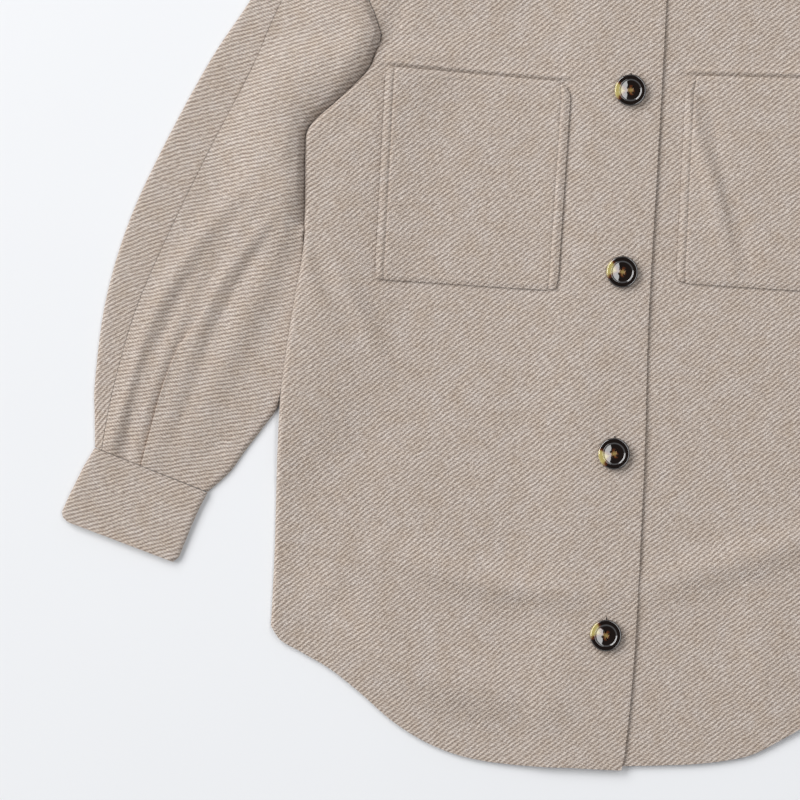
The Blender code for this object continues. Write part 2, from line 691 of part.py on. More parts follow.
def main():
    """Clears the scene and builds every piece."""
    for thing in list(bpy.data.objects):
        bpy.data.objects.remove(thing, do_unlink=True)
    walls = {
        "back": back_wall(),
        "front_right": front_wall(RIGHT, lapped=True),
        "front_left": front_wall(LEFT, lapped=False),
        "pocket_right": pocket_wall(RIGHT),
        "pocket_left": pocket_wall(LEFT),
        "collar_stand": stand_wall(),
        "collar_leaf": leaf_wall(),
    }
    for word, side in (("right", -1), ("left", 1)):
        walls[f"sleeve_upper_{word}"] = upper_sleeve_wall(side)
        walls[f"sleeve_under_{word}"] = under_sleeve_wall(side)
        walls[f"cuff_{word}"] = cuff_wall(side)
    places = np.concatenate([grid.reshape(-1, 3) for pair in walls.values() for grid in pair])
    low, high = places.min(axis=0), places.max(axis=0)
    centre = np.array(((low[0] + high[0]) / 2, (low[1] + high[1]) / 2, 0.0))
    for name, (outer, inner) in walls.items():
        add_wall(name, outer, inner, centre, closed=name.startswith("cuff"))
    add_buttons(centre)


main()
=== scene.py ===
"""Add-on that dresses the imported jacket: a shirt jacket in napped wool twill, laid flat on its back.

Tables give millimetres on the flat garment: out from the centre front, and up from the hem. A wall
is an outer and an inner grid of places, with the place of each on the flat cloth, which the twill
of the material follows. The wearer's right is at -X, the collar at +Y, and the floor at Z = 0.
"""
import math
from collections import namedtuple

import bmesh
import bpy
import numpy as np
from bpy.props import FloatProperty, FloatVectorProperty, IntProperty, PointerProperty
from mathutils import Matrix, Vector


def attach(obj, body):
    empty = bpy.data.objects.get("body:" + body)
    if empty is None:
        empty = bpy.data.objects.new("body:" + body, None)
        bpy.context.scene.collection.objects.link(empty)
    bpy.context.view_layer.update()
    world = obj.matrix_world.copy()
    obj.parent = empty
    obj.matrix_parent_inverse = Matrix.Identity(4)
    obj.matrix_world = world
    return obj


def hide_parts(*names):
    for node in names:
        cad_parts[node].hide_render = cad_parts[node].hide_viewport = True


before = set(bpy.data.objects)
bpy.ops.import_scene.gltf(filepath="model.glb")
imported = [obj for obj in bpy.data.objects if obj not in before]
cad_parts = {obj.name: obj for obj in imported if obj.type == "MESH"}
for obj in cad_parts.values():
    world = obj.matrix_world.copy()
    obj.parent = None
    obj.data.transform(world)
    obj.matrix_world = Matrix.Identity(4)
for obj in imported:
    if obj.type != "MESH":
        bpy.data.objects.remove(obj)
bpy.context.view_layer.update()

bl_info = {
    "name": "Wool Twill Shirt Jacket",
    "version": (1, 0, 0),
    "blender": (4, 5, 0),
    "location": "View3D > Sidebar > Jacket",
    "description": "Builds the cloth, buttons and stage of a shirt jacket laid flat",
    "category": "Object",
}

MM = 0.001
GARMENT_CENTRE_UP = 403.0

# How the layers lie, in millimetres as all sizes down to the buttons
GAP = 0.3
SEAM = 0.3
CLOTH = 2.0
LAYER = CLOTH + GAP
CUFF_CLOTH = 2.6
POCKET_SPAN = (5.0, 0.0)
EDGE_TURN = 4.5
SLEEVE_TOP = 2 * CLOTH + GAP
CUFF_TOP = 2 * CUFF_CLOTH + GAP

# The body's rise over the sleeve beneath it, and over the other front's edge
BODY_LIFT = 4.9
LIFT_RUN = 80.0
LIFT_LEAD = 4.0
LIFT_FADE = 18.0
UNDERARM_UP = 576.5
PLACKET_FOOT = 41.0
PLACKET_RUN = 15.0
LAP_START = 84.0
LAP_RUN = 60.0
UNDER_EDGE = -24.0
BACK_HEM_TUCK = 1.5

# Shares of the body's width where the neck ends and the side's turn starts
NECK_SHARE = 0.22
TURN_SHARE = 0.98

# Widths and lengths over which the columns and rows of a piece are spread
HALF_WIDTH = 226.0
BAND_SPACING = 3.0
FLAP_WIDTH = 24.0
SLEEVE_LENGTH = 520.0
PLEAT_BLOCK_WIDTH = 45.0
ARM_BLOCK_WIDTH = 100.0
STRIP_WIDTH = 30.0
SLEEVE_FLOOR_WIDTH = 120.0
COLLAR_FRONT_LENGTH = 120.0
COLLAR_BACK_LENGTH = 90.0
STAND_HEIGHT = 40.0
LEAF_HEIGHT = 60.0

# The pocket: mouth, pressed groove round it, side hems, and corners drawn in by the stitching
Pressed = namedtuple("Pressed", "at width depth")
MOUTH_ROWS = (540.0, 566.0)
MOUTH_LIP_UP = 3.6
MOUTH_LIP_RISE = 1.4
MOUTH_LIP_WIDTH = 2.1
GROOVE_WIDTH = 2.8
GROOVE_INNER_SIDE = 0.2
GROOVE_OUTER_SIDE = 0.5
GROOVE_FOOT = 0.3
GROOVE_MOUTH = 1.2
POCKET_WIDTH = 148.0
POCKET_LENGTH = 168.0
POCKET_FINE = 10.0
HEM_WIDTH = 7.6
HEM_FADE = 1.8
HEM_RISE = 0.25
SIDE_STITCH = Pressed(6.8, 0.9, 0.8)
END_STITCH = Pressed(6.5, 1.0, 0.3)
POCKET_RIM = Pressed(0.0, 2.2, 1.0)
CORNER_PINCHES = (2.0, 1.0, 5.0, 1.5)
PINCH_REACH = 7.0

# Folds fade at their ends, and their edges waver; the cloth also rises and falls in slow waves
Wave = namedtuple("Wave", "out up shift strength")
SLOW_WAVES = [Wave(31.0, 47.0, 0.0, 1.0), Wave(-39.0, 23.0, 1.7, 1.0), Wave(13.0, 17.0, 0.6, 0.6)]
FOLD_STEPS = 48
FOLD_END = 0.06
CREASE_WAVER = 0.35

SIDE = [(267, 100), (267, 160), (268.5, 235), (268, 290), (262, 353), (256.5, 395), (256, 425),
        (258, 480), (255.5, 500), (235.5, 521), (219.8, 537.3), (209.8, 550), (205.8, 562),
        (201.5, UNDERARM_UP)]
ARMHOLE = [(201.5, UNDERARM_UP), (207.7, 593), (212.7, 604), (219, 630), (224, 665), (224.5, 700),
           (220.5, 735)]
SHOULDER_TIP = ARMHOLE[-1]
NECK_POINT = (80, 787)
FRONT_NECK = [(41, 714.5), (60, 735), (74, 762), NECK_POINT]
BACK_NECK = [(41, 767), (53, 770), (68, 778.5), NECK_POINT]
BACK_NECK_MIDDLE = 764

Band = namedtuple("Band", "out hem neck")
BACK_BANDS = [Band(-PLACKET_FOOT, -0.5, BACK_NECK[0][1]), Band(0, 0.5, BACK_NECK_MIDDLE),
              Band(20, 2.6, BACK_NECK_MIDDLE), Band(PLACKET_FOOT, 4.8, BACK_NECK[0][1])]
Front = namedtuple("Front", "side hem band edge pocket folds creases")
Fold = namedtuple("Fold", "start middle end width height")

LAPPED_EDGE = [(-18.3, -1.8), (-21.2, 22.6), (-24.4, 104), (-24.6, 248), (-22.4, 362),
               (-23.5, 480), (-24.3, 600), (-24.3, 702)]
HIDDEN_EDGE = [(UNDER_EDGE, 0), (UNDER_EDGE, 350), (UNDER_EDGE, 702)]

RIGHT = Front(
    side=-1,
    hem=[(PLACKET_FOOT, -2.0), (70.5, -1.1), (95, 1), (119, 6), (143.5, 15.5), (168, 30), (193, 50),
         (218, 68), (243, 81), (258.5, 89), (267, 100)],
    band=[Band(0, -1.6, 700), Band(26, -1.4, 705.5), Band(33.5, -1.7, 709.5),
          Band(PLACKET_FOOT, -2.0, 714.5)],
    edge=LAPPED_EDGE,
    pocket=[(51.5, 378.7), (197.5, 381), (48.5, 545.5), (197, 551)],
    folds=[Fold((238, 398), (210, 356), (189, 312), 10, 2.2),
           Fold((258, 412), (251, 385), (241, 356), 8, 1.8),
           Fold((180, 166), (98, 143), (6, 136), 13, 4.6),
           Fold((222, 128), (142, 68), (50, 46), 20, 7.4)],
    creases=[Fold((247, 404), (230, 370), (208, 330), 6, -0.9),
             Fold((262, 400), (262, 375), (256, 345), 5, -0.6),
             Fold((61, 625), (60, 585), (57, 545), 4, -0.3),
             Fold((120, 170), (80, 132), (46, 104), 12, -0.6),
             Fold((232, 300), (205, 255), (190, 200), 16, -0.7),
             Fold((35, 250), (90, 262), (140, 300), 18, -0.5),
             Fold((250, 480), (225, 500), (206, 530), 7, -0.8),
             Fold((201, 560), (191, 590), (179, 626), 7, -1.3),
             Fold((180, 572), (120, 592), (62, 600), 12, -0.8),
             Fold((240, 452), (222, 470), (204, 484), 9, -0.5)],
)
LEFT = Front(
    side=1,
    hem=[(PLACKET_FOOT, 3.3), (73.3, 5.9), (97.2, 9.5), (121, 15.5), (144.3, 28.6), (168, 44),
         (193, 63), (218, 80), (243, 93), (258.5, 101), (267, 112)],
    band=[Band(0, 0.6, 700), Band(PLACKET_FOOT, 3.3, 714.5)],
    edge=HIDDEN_EDGE,
    pocket=[(43, 389.7), (192, 387.5), (43, 555.5), (191, 559)],
    folds=[Fold((228, 385), (205, 345), (190, 300), 13, 2.0),
           Fold((44, 545), (63, 486), (89, 406), 8, 3.0),
           Fold((205, 206), (98, 168), (20, 142), 14, 3.8),
           Fold((140, 50), (122, 90), (112, 140), 20, 1.2)],
    creases=[Fold((52, 548), (72, 486), (99, 405), 7.0, -2.1),
             Fold((245, 400), (228, 365), (212, 320), 7, -0.8),
             Fold((118, 50), (98, 130), (80, 210), 12, -0.6),
             Fold((60, 330), (92, 300), (130, 286), 16, -0.5),
             Fold((250, 478), (226, 498), (207, 528), 7, -0.8)],
)

# The sleeve's lines from armhole to cuff: fold under the arm, pleat, seam, and outer fold
SLEEVE_INNER = [(202, UNDERARM_UP), (203, 566), (203.5, 557), (206, 547.5), (213, 535),
                (223.5, 515), (229, 492), (236, 455), (243, 410), (250, 360), (258, 310), (269, 277),
                (281, 258), (294.5, 238.5), (306, 221), (322.5, 204.5)]
SLEEVE_PLEAT = [(223.5, 655), (262, 560), (284, 500), (301, 444), (318.5, 382.5), (340, 336.5),
                (352, 316.5), (362.5, 286), (369, 258), (376.5, 222.7)]
SLEEVE_SEAM = [(225.8, 690), (254, 645), (282, 600.5), (304.5, 542.5), (332.5, 482), (366, 404),
               (388, 344), (401, 288), (406.5, 254), (408.7, 233.7)]
SLEEVE_OUTER = [(221.5, 735.5), (262, 681), (307.5, 599.5), (337, 550), (369, 484), (395.5, 419),
                (411.5, 354), (417, 289.5), (416, 262), (414.5, 236)]
CROWN_CLEAR = 0.5
SLEEVE_CROWN = [(out + CROWN_CLEAR, up) for out, up in ARMHOLE[:-1]] + [(221.1, 735.5)]
SLEEVE_FOLDS = [
    Fold((245, 640), (287, 545), (318, 462), 22, 1.6),
    Fold((300, 462), (363, 362), (400, 244), 9, 4.2),
    Fold((268, 440), (306, 394), (342, 336), 8, 3.4),
    Fold((308, 452), (350, 342), (383, 240), 7, 1.7),
    Fold((296, 440), (331, 345), (364, 232), 8, 2.4),
    Fold((262, 455), (300, 345), (345, 232), 12, 2.8),
]
SLEEVE_CREASES = [
    Fold((350, 370), (380, 300), (396, 200), 5, -1.9),
    Fold((378, 325), (393, 270), (408, 200), 5, 1.5),
    Fold((348, 350), (369, 290), (386, 200), 5, 1.4),
    Fold((279, 425), (308, 366), (342, 300), 7, -1.2),
    Fold((262, 400), (276, 350), (300, 290), 8, -0.8),
    Fold((240, 548), (262, 500), (270, 452), 9, -0.9),
    Fold((258, 620), (300, 545), (330, 480), 11, -0.6),
    Fold((300, 262), (318, 240), (338, 226), 5, -0.7),
    Fold((232, 600), (238, 565), (246, 530), 8, -0.9),
]

# The roll of cloth beside the body's edge: its strength at each height, and its cross-section
UNDERARM_ROLL = [(392, 0.0), (420, 0.5), (445, 0.95), (480, 0.95), (505, 0.7), (530, 0.8),
                 (560, 1.0), (585, 0.8), (615, 0.0)]
ROLL_RISE = 13.5
ROLL_STEEP = 6.0
ROLL_CREST = 17.0
ROLL_REACH = 78.0
ROLL_BODY_START = 400

# The pleat, and the distances between the sleeve's lines at the crown
PLEAT_START = 0.5
PLEAT_DEPTH = 1.7
PLEAT_STEP = 0.7
PLEAT_FADE = 28.0
FOLDS_CLEAR = 34.0
FOLDS_CLEAR_RUN = 20.0
SLEEVE_RELIEF = (-1.7, 1.6)
CROWN_TO_PLEAT = 75.0
PLEAT_TO_SEAM = 35.0
SEAM_TO_FOLD = 45.0

# How far the cloth's grain is turned, in degrees, at shares of the sleeve's length
Tilt = namedtuple("Tilt", "share degrees")
UPPER_TILT = [Tilt(0, 15), Tilt(0.35, 22), Tilt(0.6, 25), Tilt(0.85, 28), Tilt(1, 29)]
UNDER_TILT = [Tilt(0, 16), Tilt(0.4, 22), Tilt(0.7, 15), Tilt(0.9, -8), Tilt(1, -15)]
CUFF_TILT = [Tilt(0, 19), Tilt(1, 22)]

CuffRow = namedtuple("CuffRow", "along outer inner")
CUFF = [
    CuffRow(0.0, (414.6, 235.3), (322.7, 203.9)),
    CuffRow(0.25, (422.6, 220.3), (328.4, 192)),
    CuffRow(0.6, (432, 199), (334.8, 175.4)),
    CuffRow(0.87, (438.4, 183), (339.7, 161)),
    CuffRow(0.95, (437.4, 178.5), (343, 151.5)),
    CuffRow(1.0, (433.5, 175.2), (347.5, 147.3)),
]
CUFF_LENGTH = 60.0
CUFF_WIDTH = 97.0

STAND_FRONT_SEAM = [(3, 700.7), (30, 708.3), (58, 734), (72.5, 762.5), (78, 789.5)]
STAND_FRONT_TOP = [(3, 716), (33, 728), (57, 756), (70, 786), (75.5, 805)]
STAND_BACK_SEAM = [(78, 789.5), (62, 771), (40, 761), (0, 757.5)]
STAND_BACK_TOP = [(75.5, 805), (58, 801.5), (36, 800), (0, 799)]
LEAF_FRONT_FOLD = [(3, 717), (34, 729.5), (59, 757), (74, 788), (82, 808)]
LEAF_FRONT_EDGE = [(58, 648), (78, 677), (98, 718), (109, 755), (113, 786.5)]
LEAF_BACK_FOLD = [(82, 808), (62, 804), (38, 802), (0, 801)]
LEAF_BACK_EDGE = [(113, 786.5), (82, 790.5), (58, 776.5), (38, 770), (0, 766.5)]
STAND_TURN = 4.0
LEAF_TURN = 6.0
TURN_CLEAR = 1.0
LEAF_DROP_START = 0.45
LEAF_DROP_RUN = 0.5
LEAF_OVER_PLACKET = PLACKET_FOOT + 4

# Buttons: face and back in radius and height, holes, and the line they are sewn on
BUTTON_PROFILE = [(0.0, 2.3), (1.2, 2.33), (2.5, 2.43), (4.3, 2.66), (6.1, 2.99), (7.8, 3.34),
                  (8.2, 3.5), (8.5, 3.76), (8.8, 3.98), (9.4, 4.04), (10.6, 4.04), (11.5, 4.02),
                  (12.0, 3.9), (12.4, 3.55), (12.65, 3.0), (12.7, 2.3), (12.5, 1.6), (11.8, 1.0),
                  (10.0, 0.5), (7.0, 0.15), (4.0, 0.03), (0.0, 0.0)]
BUTTON_COUNT = 5
BUTTON_FIRST_UP = 105.7
BUTTON_SPACING = 145.2
BUTTON_START = 0.6
BUTTON_DRIFT = -0.55
# Buttonholes are drawn as thin rings of near-black painted shade along each slit
BUTTONHOLE_LENGTH = 26.0
BUTTONHOLE_HALF_WIDTH = 0.25
BUTTONHOLE_TOPS = [17.8, 14.2, 13.4, 13.6, 13.5]
BUTTONHOLE_SINK = 0.3
BUTTONHOLE_SHADE_RADIUS = 0.3
BUTTON_TURNS = [-22, 18, -12, 3, 8]
PROFILE_STEPS = 100
HOLE_SIDES = 20
HOLE_CUT_DEPTH = 20.0
THREAD_LINE = [(-0.8, 0.2), (-0.78, 1.8), (-0.6, 2.3), (0.0, 2.5), (0.6, 2.3), (0.78, 1.8),
               (0.8, 0.2)]

# The twill's patterns: wander of the lines, and each pattern's share of the tone
Wander = namedtuple("Wander", "scale reach")
WANDERS = [Wander(0.045, 1.6), Wander(0.22, 0.75)]
DASH_SCALE = 0.75
DASH_STRETCH = 0.32
FUZZ_SCALE = 0.95
FLOAT_ALONG = 0.85
FLOAT_ACROSS = 0.55
FLOAT_PITCH = 1.9
RIB_TONE = 0.42
DASH_TONE = 0.7
FLOAT_TONE = 0.10
FUZZ_TONE = 1.3
TONE_LOSS = 0.75
PATCH_SCALE = 0.06
FIBRE_SCALE = 0.8
FIBRE_SHIFT = (31.0, 7.0, 0.0)
PATCH_TINTS = [(0.32, (0.90, 0.865, 0.82)), (0.68, (0.985, 0.99, 1.0))]
FIBRE_TINTS = [(0.3, (1.0, 0.975, 0.94)), (0.7, (0.96, 0.985, 1.0))]

# The resin: how fast amber fades away from the button's outer side and from its middle
AMBER_OUTWARD = -60.0
AMBER_ASIDE = -75.0
AMBER_FROM_MIDDLE = -130.0
AMBER_IN_MIDDLE = 0.55
MOTTLE_SCALE = 160.0
MOTTLE_SHARE = 0.7
BROWN = (0.13, 0.034, 0.010)

# The stage, in metres
Lamp = namedtuple("Lamp", "name place aim_y across height")
LAMPS = [Lamp("key", (-4.6, 2.3, 3.8), -0.12, 7.2, 3.3),
         Lamp("fill", (0.75, 0.3, 2.0), 0.3, 2.8, 0.55)]
LAMP_AIM_X = -0.17
EYE = (-0.1727, -0.1176)
SENSOR = 36.0
FLOOR_HALF = 4.0
FLOOR_DROP = 0.00005
FLOOR_SHADE = 0.985
SKY_STOPS = [(0.80, (0.95, 0.97, 1.0)), (0.90, (0.06, 0.062, 0.065))]

SIDES = (("right", -1), ("left", 1))

# The flat cut of each piece in metres and square metres, and what it lies on
Cut = namedtuple("Cut", "width length area rests_on")

Wall = namedtuple("Wall", "outer inner cloth closed")


class JacketClothSettings(bpy.types.PropertyGroup):
    """How finely the cloth is built, and its edges and creases."""

    spacing: FloatProperty(name="Grid Spacing", description="Distance between places on a panel",
                           default=0.003, min=0.002, unit="LENGTH")
    back_spacing: FloatProperty(name="Back Spacing", description="Grid spacing on the flat back",
                                default=0.006, min=0.002, unit="LENGTH")
    pocket_spacing: FloatProperty(name="Pocket Spacing", description="Grid spacing on a pocket",
                                  default=0.001, min=0.0005, unit="LENGTH")
    turn_steps: IntProperty(name="Turn Steps", description="Columns round a folded edge",
                            default=8, min=3)
    rim: FloatProperty(name="Rim Radius", description="Rounding of the cloth's cut edges",
                       default=0.0008, unit="LENGTH")
    creases: FloatProperty(name="Creases", description="Strength of the small creases",
                           default=1.0, subtype="FACTOR")
    unevenness: FloatProperty(name="Unevenness", description="Slow rise and fall of the cloth",
                              default=0.00035, unit="LENGTH")


class JacketTwillSettings(bpy.types.PropertyGroup):
    """The napped twill: its lines, colours and relief."""

    pitch: FloatProperty(name="Line Pitch", description="Distance from one twill line to the next",
                         default=0.0031, unit="LENGTH")
    angle: FloatProperty(name="Line Angle", description="Angle of the lines to the weft",
                         default=math.radians(40.3), subtype="ANGLE")
    rib_colour: FloatVectorProperty(name="Line Colour", description="Cream yarn of the lines",
                                    default=(0.810, 0.722, 0.655), size=3, subtype="COLOR")
    middle_colour: FloatVectorProperty(name="Middle Colour", description="Blend of both yarns",
                                       default=(0.512, 0.434, 0.382), size=3, subtype="COLOR")
    groove_colour: FloatVectorProperty(name="Groove Colour", description="Taupe yarn between lines",
                                       default=(0.285, 0.222, 0.186), size=3, subtype="COLOR")
    relief: FloatProperty(name="Relief", description="Height of the lines", default=0.0006,
                          unit="LENGTH")
    nap: FloatProperty(name="Nap", description="Sheen of the raised fibres", default=0.12,
                       subtype="FACTOR")


class JacketButtonSettings(bpy.types.PropertyGroup):
    """The buttons, the thread that holds them, and the buttonholes' painted slit shade."""

    sides: IntProperty(name="Sides", description="Steps round a button", default=72, min=24)
    hole_radius: FloatProperty(name="Hole Radius", description="Radius of a thread hole",
                               default=0.0011, unit="LENGTH")
    hole_out: FloatProperty(name="Hole Distance", description="From the middle to a hole",
                            default=0.0028, unit="LENGTH")
    thread: FloatProperty(name="Thread", description="Thickness of the sewing thread",
                          default=0.0007, unit="LENGTH")
    dark_colour: FloatVectorProperty(name="Dark Colour", description="Body of the resin",
                                     default=(0.010, 0.0055, 0.004), size=3, subtype="COLOR")
    amber_colour: FloatVectorProperty(name="Amber Colour", description="Clear patches in the resin",
                                      default=(0.52, 0.43, 0.15), size=3, subtype="COLOR")
    thread_colour: FloatVectorProperty(name="Thread Colour", description="Sewing thread",
                                       default=(0.42, 0.25, 0.11), size=3, subtype="COLOR")
    # Near black: painted shade of the buttonhole's slit, not the thread's own colour
    slit_shade_colour: FloatVectorProperty(name="Buttonhole Colour", description="Buttonhole's thread",
                                     default=(0.045, 0.032, 0.024), size=3, subtype="COLOR")


class JacketStageSettings(bpy.types.PropertyGroup):
    """Floor, lights and camera."""

    floor_colour: FloatVectorProperty(name="Floor Colour", description="Pale studio floor",
                                      default=(0.853, 0.862, 0.878), size=3, subtype="COLOR")
    view_width: FloatProperty(name="View Width", description="Width of cloth seen by the camera",
                              default=0.64, unit="LENGTH")
    view_turn: FloatProperty(name="View Turn", description="How far the camera is turned",
                             default=math.radians(2.8), subtype="ANGLE")
    lens: FloatProperty(name="Lens", description="Focal length of the camera", default=200.0,
                        unit="CAMERA")
    key_power: FloatProperty(name="Key Power", description="Power of the large light, in watts",
                             default=452.0)
    fill_power: FloatProperty(name="Fill Power", description="Power of the second light, in watts",
                              default=13.0)
    sky: FloatProperty(name="Sky", description="Strength of the even light all round", default=0.41)


def smooth(x):
    """0 below 0, 1 above 1, and an even S between them."""
    x = np.clip(x, 0.0, 1.0)
    return x * x * (3.0 - 2.0 * x)


def spread(start, stop, spacing):
    """Even values from start to stop, about the spacing apart."""
    return np.linspace(start, stop, max(2, int(round(abs(stop - start) / spacing)) + 1))


def dense(points, steps=24):
    """Close places on a smooth curve through the points."""
    p = np.array(points, float)
    p = np.vstack([2 * p[0] - p[1], p, 2 * p[-1] - p[-2]])
    t = np.linspace(0.0, 1.0, steps, endpoint=False)[:, None]
    spans = []
    for a, b, c, d in zip(p, p[1:], p[2:], p[3:]):
        bend = 2 * a - 5 * b + 4 * c - d + t * (3 * (b - c) + d - a)
        spans.append(b + 0.5 * t * (c - a + t * bend))
    return np.vstack(spans + [p[-2:-1]])


def share(points, shares):
    """Places at the given shares of the length of the smooth curve through the points."""
    line = dense(points)
    length = np.concatenate([[0.0], np.cumsum(np.linalg.norm(np.diff(line, axis=0), axis=1))])
    wanted = np.array(shares) * length[-1]
    return np.column_stack([np.interp(wanted, length, line[:, k]) for k in range(line.shape[1])])


def at_heights(points, ups):
    """Places at the given heights on the smooth curve through the points, which only climbs."""
    line = dense(points)
    return np.column_stack([np.interp(ups, line[:, 1], line[:, 0]), ups])


def straight(start, end, shares):
    """Places on the straight line from start to end."""
    s = np.array(shares, float)[:, None]
    return (1 - s) * np.array(start, float) + s * np.array(end, float)


def filled(first, last, left, right, across, along):
    """A grid of places between four border lines: rows along, columns across."""
    u = np.array(across, float)[None, :, None]
    v = np.array(along, float)[:, None, None]
    corners = ((1 - u) * (1 - v) * first[0] + u * (1 - v) * first[-1]
               + (1 - u) * v * last[0] + u * v * last[-1])
    return ((1 - v) * first[None] + v * last[None]
            + (1 - u) * left[:, None] + u * right[:, None] - corners)


def fold_heights(places, folds, uneven=0.0):
    """What each fold adds at each place: a rounded ridge or trough that fades at its ends."""
    heights = np.zeros((len(folds) + 1,) + places.shape[:-1])
    for number, fold in enumerate(folds):
        line = share([fold.start, fold.middle, fold.end], np.linspace(0.0, 1.0, FOLD_STEPS + 1))
        apart = np.linalg.norm(places[..., None, :] - line, axis=-1)
        along = apart.argmin(axis=-1) / FOLD_STEPS
        taper = np.sin(math.pi * np.clip(along, FOLD_END, 1 - FOLD_END)) ** 0.6
        waver = 1 + uneven * np.sin(9.0 * along + 2.3 * number)
        profile = np.exp(-(apart.min(axis=-1) / (fold.width * waver)) ** 2)
        heights[number] = fold.height * taper * waver * profile
    return heights


def ridges(places, folds):
    """The main folds, which lift the whole wall."""
    return fold_heights(places, folds).max(axis=0)


def relief(settings, places, folds, low=-9.0, high=0.0):
    """Small creases and slow unevenness of the outer face, kept between two heights."""
    out, up = places[..., 0], places[..., 1]
    slow = sum(wave.strength * np.sin(out / wave.out + up / wave.up + wave.shift)
               for wave in SLOW_WAVES) / sum(wave.strength for wave in SLOW_WAVES)
    heights = settings.creases * fold_heights(places, folds, uneven=CREASE_WAVER).sum(axis=0)
    return np.clip(heights + settings.unevenness / MM * (slow - 1), low, high)


def body_lift(places):
    """How far the body is raised by the inner edge of the sleeve beneath it."""
    out, up = places[..., 0], places[..., 1]
    line = np.array(SLEEVE_INNER)[::-1]
    edge = np.interp(up, line[:, 1], line[:, 0])
    near = smooth(1 + (out - edge + LIFT_LEAD) / LIFT_RUN)
    return BODY_LIFT * near * smooth((UNDERARM_UP - up) / LIFT_FADE)


def lap_rise(places):
    """How far the right front is raised by the left front's edge beneath it."""
    return LAYER * smooth((LAP_START - places[..., 0]) / LAP_RUN)


def body_plan(front, neck, spacing):
    """Places of one half of the body, placket's foot to side edge, hem to neck and shoulder."""
    fine = spacing / HALF_WIDTH
    in_neck = spread(0.0, NECK_SHARE, fine)
    beyond = np.append(spread(NECK_SHARE, TURN_SHARE, fine)[1:], 1.0)
    across = np.concatenate([in_neck, beyond])
    corner = front.hem[-1]
    mouth, past_mouth = MOUTH_ROWS
    below = int((mouth - RIGHT.hem[-1][1]) / spacing)
    ups = np.concatenate([np.linspace(corner[1], mouth, below, endpoint=False),
                          spread(mouth, past_mouth, spacing / 3.0)[:-1],
                          spread(past_mouth, UNDERARM_UP, spacing)])
    low = at_heights([corner] + [p for p in SIDE if p[1] > corner[1] + 20], ups)
    high = at_heights(ARMHOLE, spread(UNDERARM_UP, SHOULDER_TIP[1], spacing))
    low_along = (low[:, 1] - low[0, 1]) / (UNDERARM_UP - low[0, 1])
    high_along = (high[:, 1] - UNDERARM_UP) / (high[-1, 1] - UNDERARM_UP)
    waist = straight((PLACKET_FOOT, UNDERARM_UP), low[-1], across)
    lower = filled(share(front.hem, across), waist,
                   straight(front.hem[0], waist[0], low_along), low, across, low_along)
    top = np.vstack([share(neck, in_neck / NECK_SHARE),
                     straight(NECK_POINT, SHOULDER_TIP, (beyond - NECK_SHARE) / (1 - NECK_SHARE))])
    upper = filled(waist, top, straight(waist[0], np.array(neck[0], float), high_along), high,
                   across, high_along)
    return np.vstack([lower, upper[1:]]), low_along, high_along


def band_plan(bands, outs, low_along, high_along):
    """Places of the columns at the given distances inside the placket's foot."""
    known = [band.out for band in bands]
    columns = []
    for out in outs:
        hem = np.interp(out, known, [band.hem for band in bands])
        neck = np.interp(out, known, [band.neck for band in bands])
        low = straight((out, hem), (out, UNDERARM_UP), low_along)
        high = straight((out, UNDERARM_UP), (out, neck), high_along)
        columns.append(np.vstack([low, high[1:]]))
    return np.stack(columns, axis=1)


def turned(edge, inward, middle, half, radius, cloth, angle, side):
    """Outer and inner place where a wall turns over at an edge; 0 is its top, 180 its underside."""
    sine, cosine = math.sin(math.radians(angle)), math.cos(math.radians(angle))
    places = []
    for reach, rise in ((radius, half), (radius - cloth, half - cloth)):
        place = edge + inward * (radius - reach * sine)
        places.append((side * place[0], place[1], middle + rise * cosine))
    return places


def wall_points(places, low, side, cloth=CLOTH, extra=0.0):
    """Outer and inner places of a wall whose underside is at the heights given."""
    x, y = side * places[..., 0], places[..., 1]
    return np.stack([x, y, low + cloth + extra], axis=-1), np.stack([x, y, low], axis=-1)


def unrolled(outer, first, last):
    """The flat cloth of a wall: its plan between two columns, and its length of cloth past them."""
    flat = outer[..., :2].copy()
    steps = np.linalg.norm(np.diff(outer, axis=1), axis=-1)
    for edge, inside, order in ((last, last - 1, range(last + 1, flat.shape[1])),
                                (first, first + 1, range(first - 1, -1, -1))):
        run = flat[:, edge] - flat[:, inside]
        run /= np.linalg.norm(run, axis=1)[:, None]
        length = np.zeros(len(flat))
        for column in order:
            length = length + steps[:, min(column, column - 1 if column > edge else column)]
            flat[:, column] = flat[:, edge] + run * length[:, None]
    return flat


def grain(flat, tilts, shares, side):
    """Turns the flat cloth row by row, so that the twill follows a bent sleeve."""
    axis = flat.mean(axis=1)
    turn = side * -np.radians(np.interp(shares, [t.share for t in tilts],
                                        [t.degrees for t in tilts]))
    cosine, sine = np.cos(turn), np.sin(turn)

    def rotate(vector, c, s):
        return np.stack([c * vector[..., 0] - s * vector[..., 1],
                         s * vector[..., 0] + c * vector[..., 1]], axis=-1)

    start = axis[:1]
    middle = slice(None, -1)
    steps = rotate(np.diff(axis, axis=0), cosine[middle], sine[middle])
    path = np.vstack([start, start + np.cumsum(steps, axis=0)])
    return path[:, None] + rotate(flat - axis[:, None], cosine[:, None], sine[:, None])


def side_turn(front, edge, inside, tops, bent_rows, steps):
    """Outer and inner places where a front turns down at its side, or ends flat at the armhole."""
    outs, ins = [], []
    for row, (end, start, top) in enumerate(zip(edge, inside, tops)):
        radius = np.linalg.norm(start - end)
        inward = (start - end) / radius
        base = float(body_lift(end))
        pairs = []
        for step in range(1, steps + 1):
            angle = 90.0 * step / steps
            if row < bent_rows:
                pairs.append(turned(end, inward, base, top - base, radius, CLOTH, angle, front.side))
            else:
                place = end + inward * radius * (1 - math.sin(math.radians(angle)))
                pairs.append([(front.side * place[0], place[1], z) for z in (top, top - CLOTH)])
        outs.append([pair[0] for pair in pairs])
        ins.append([pair[1] for pair in pairs])
    return np.array(outs), np.array(ins)


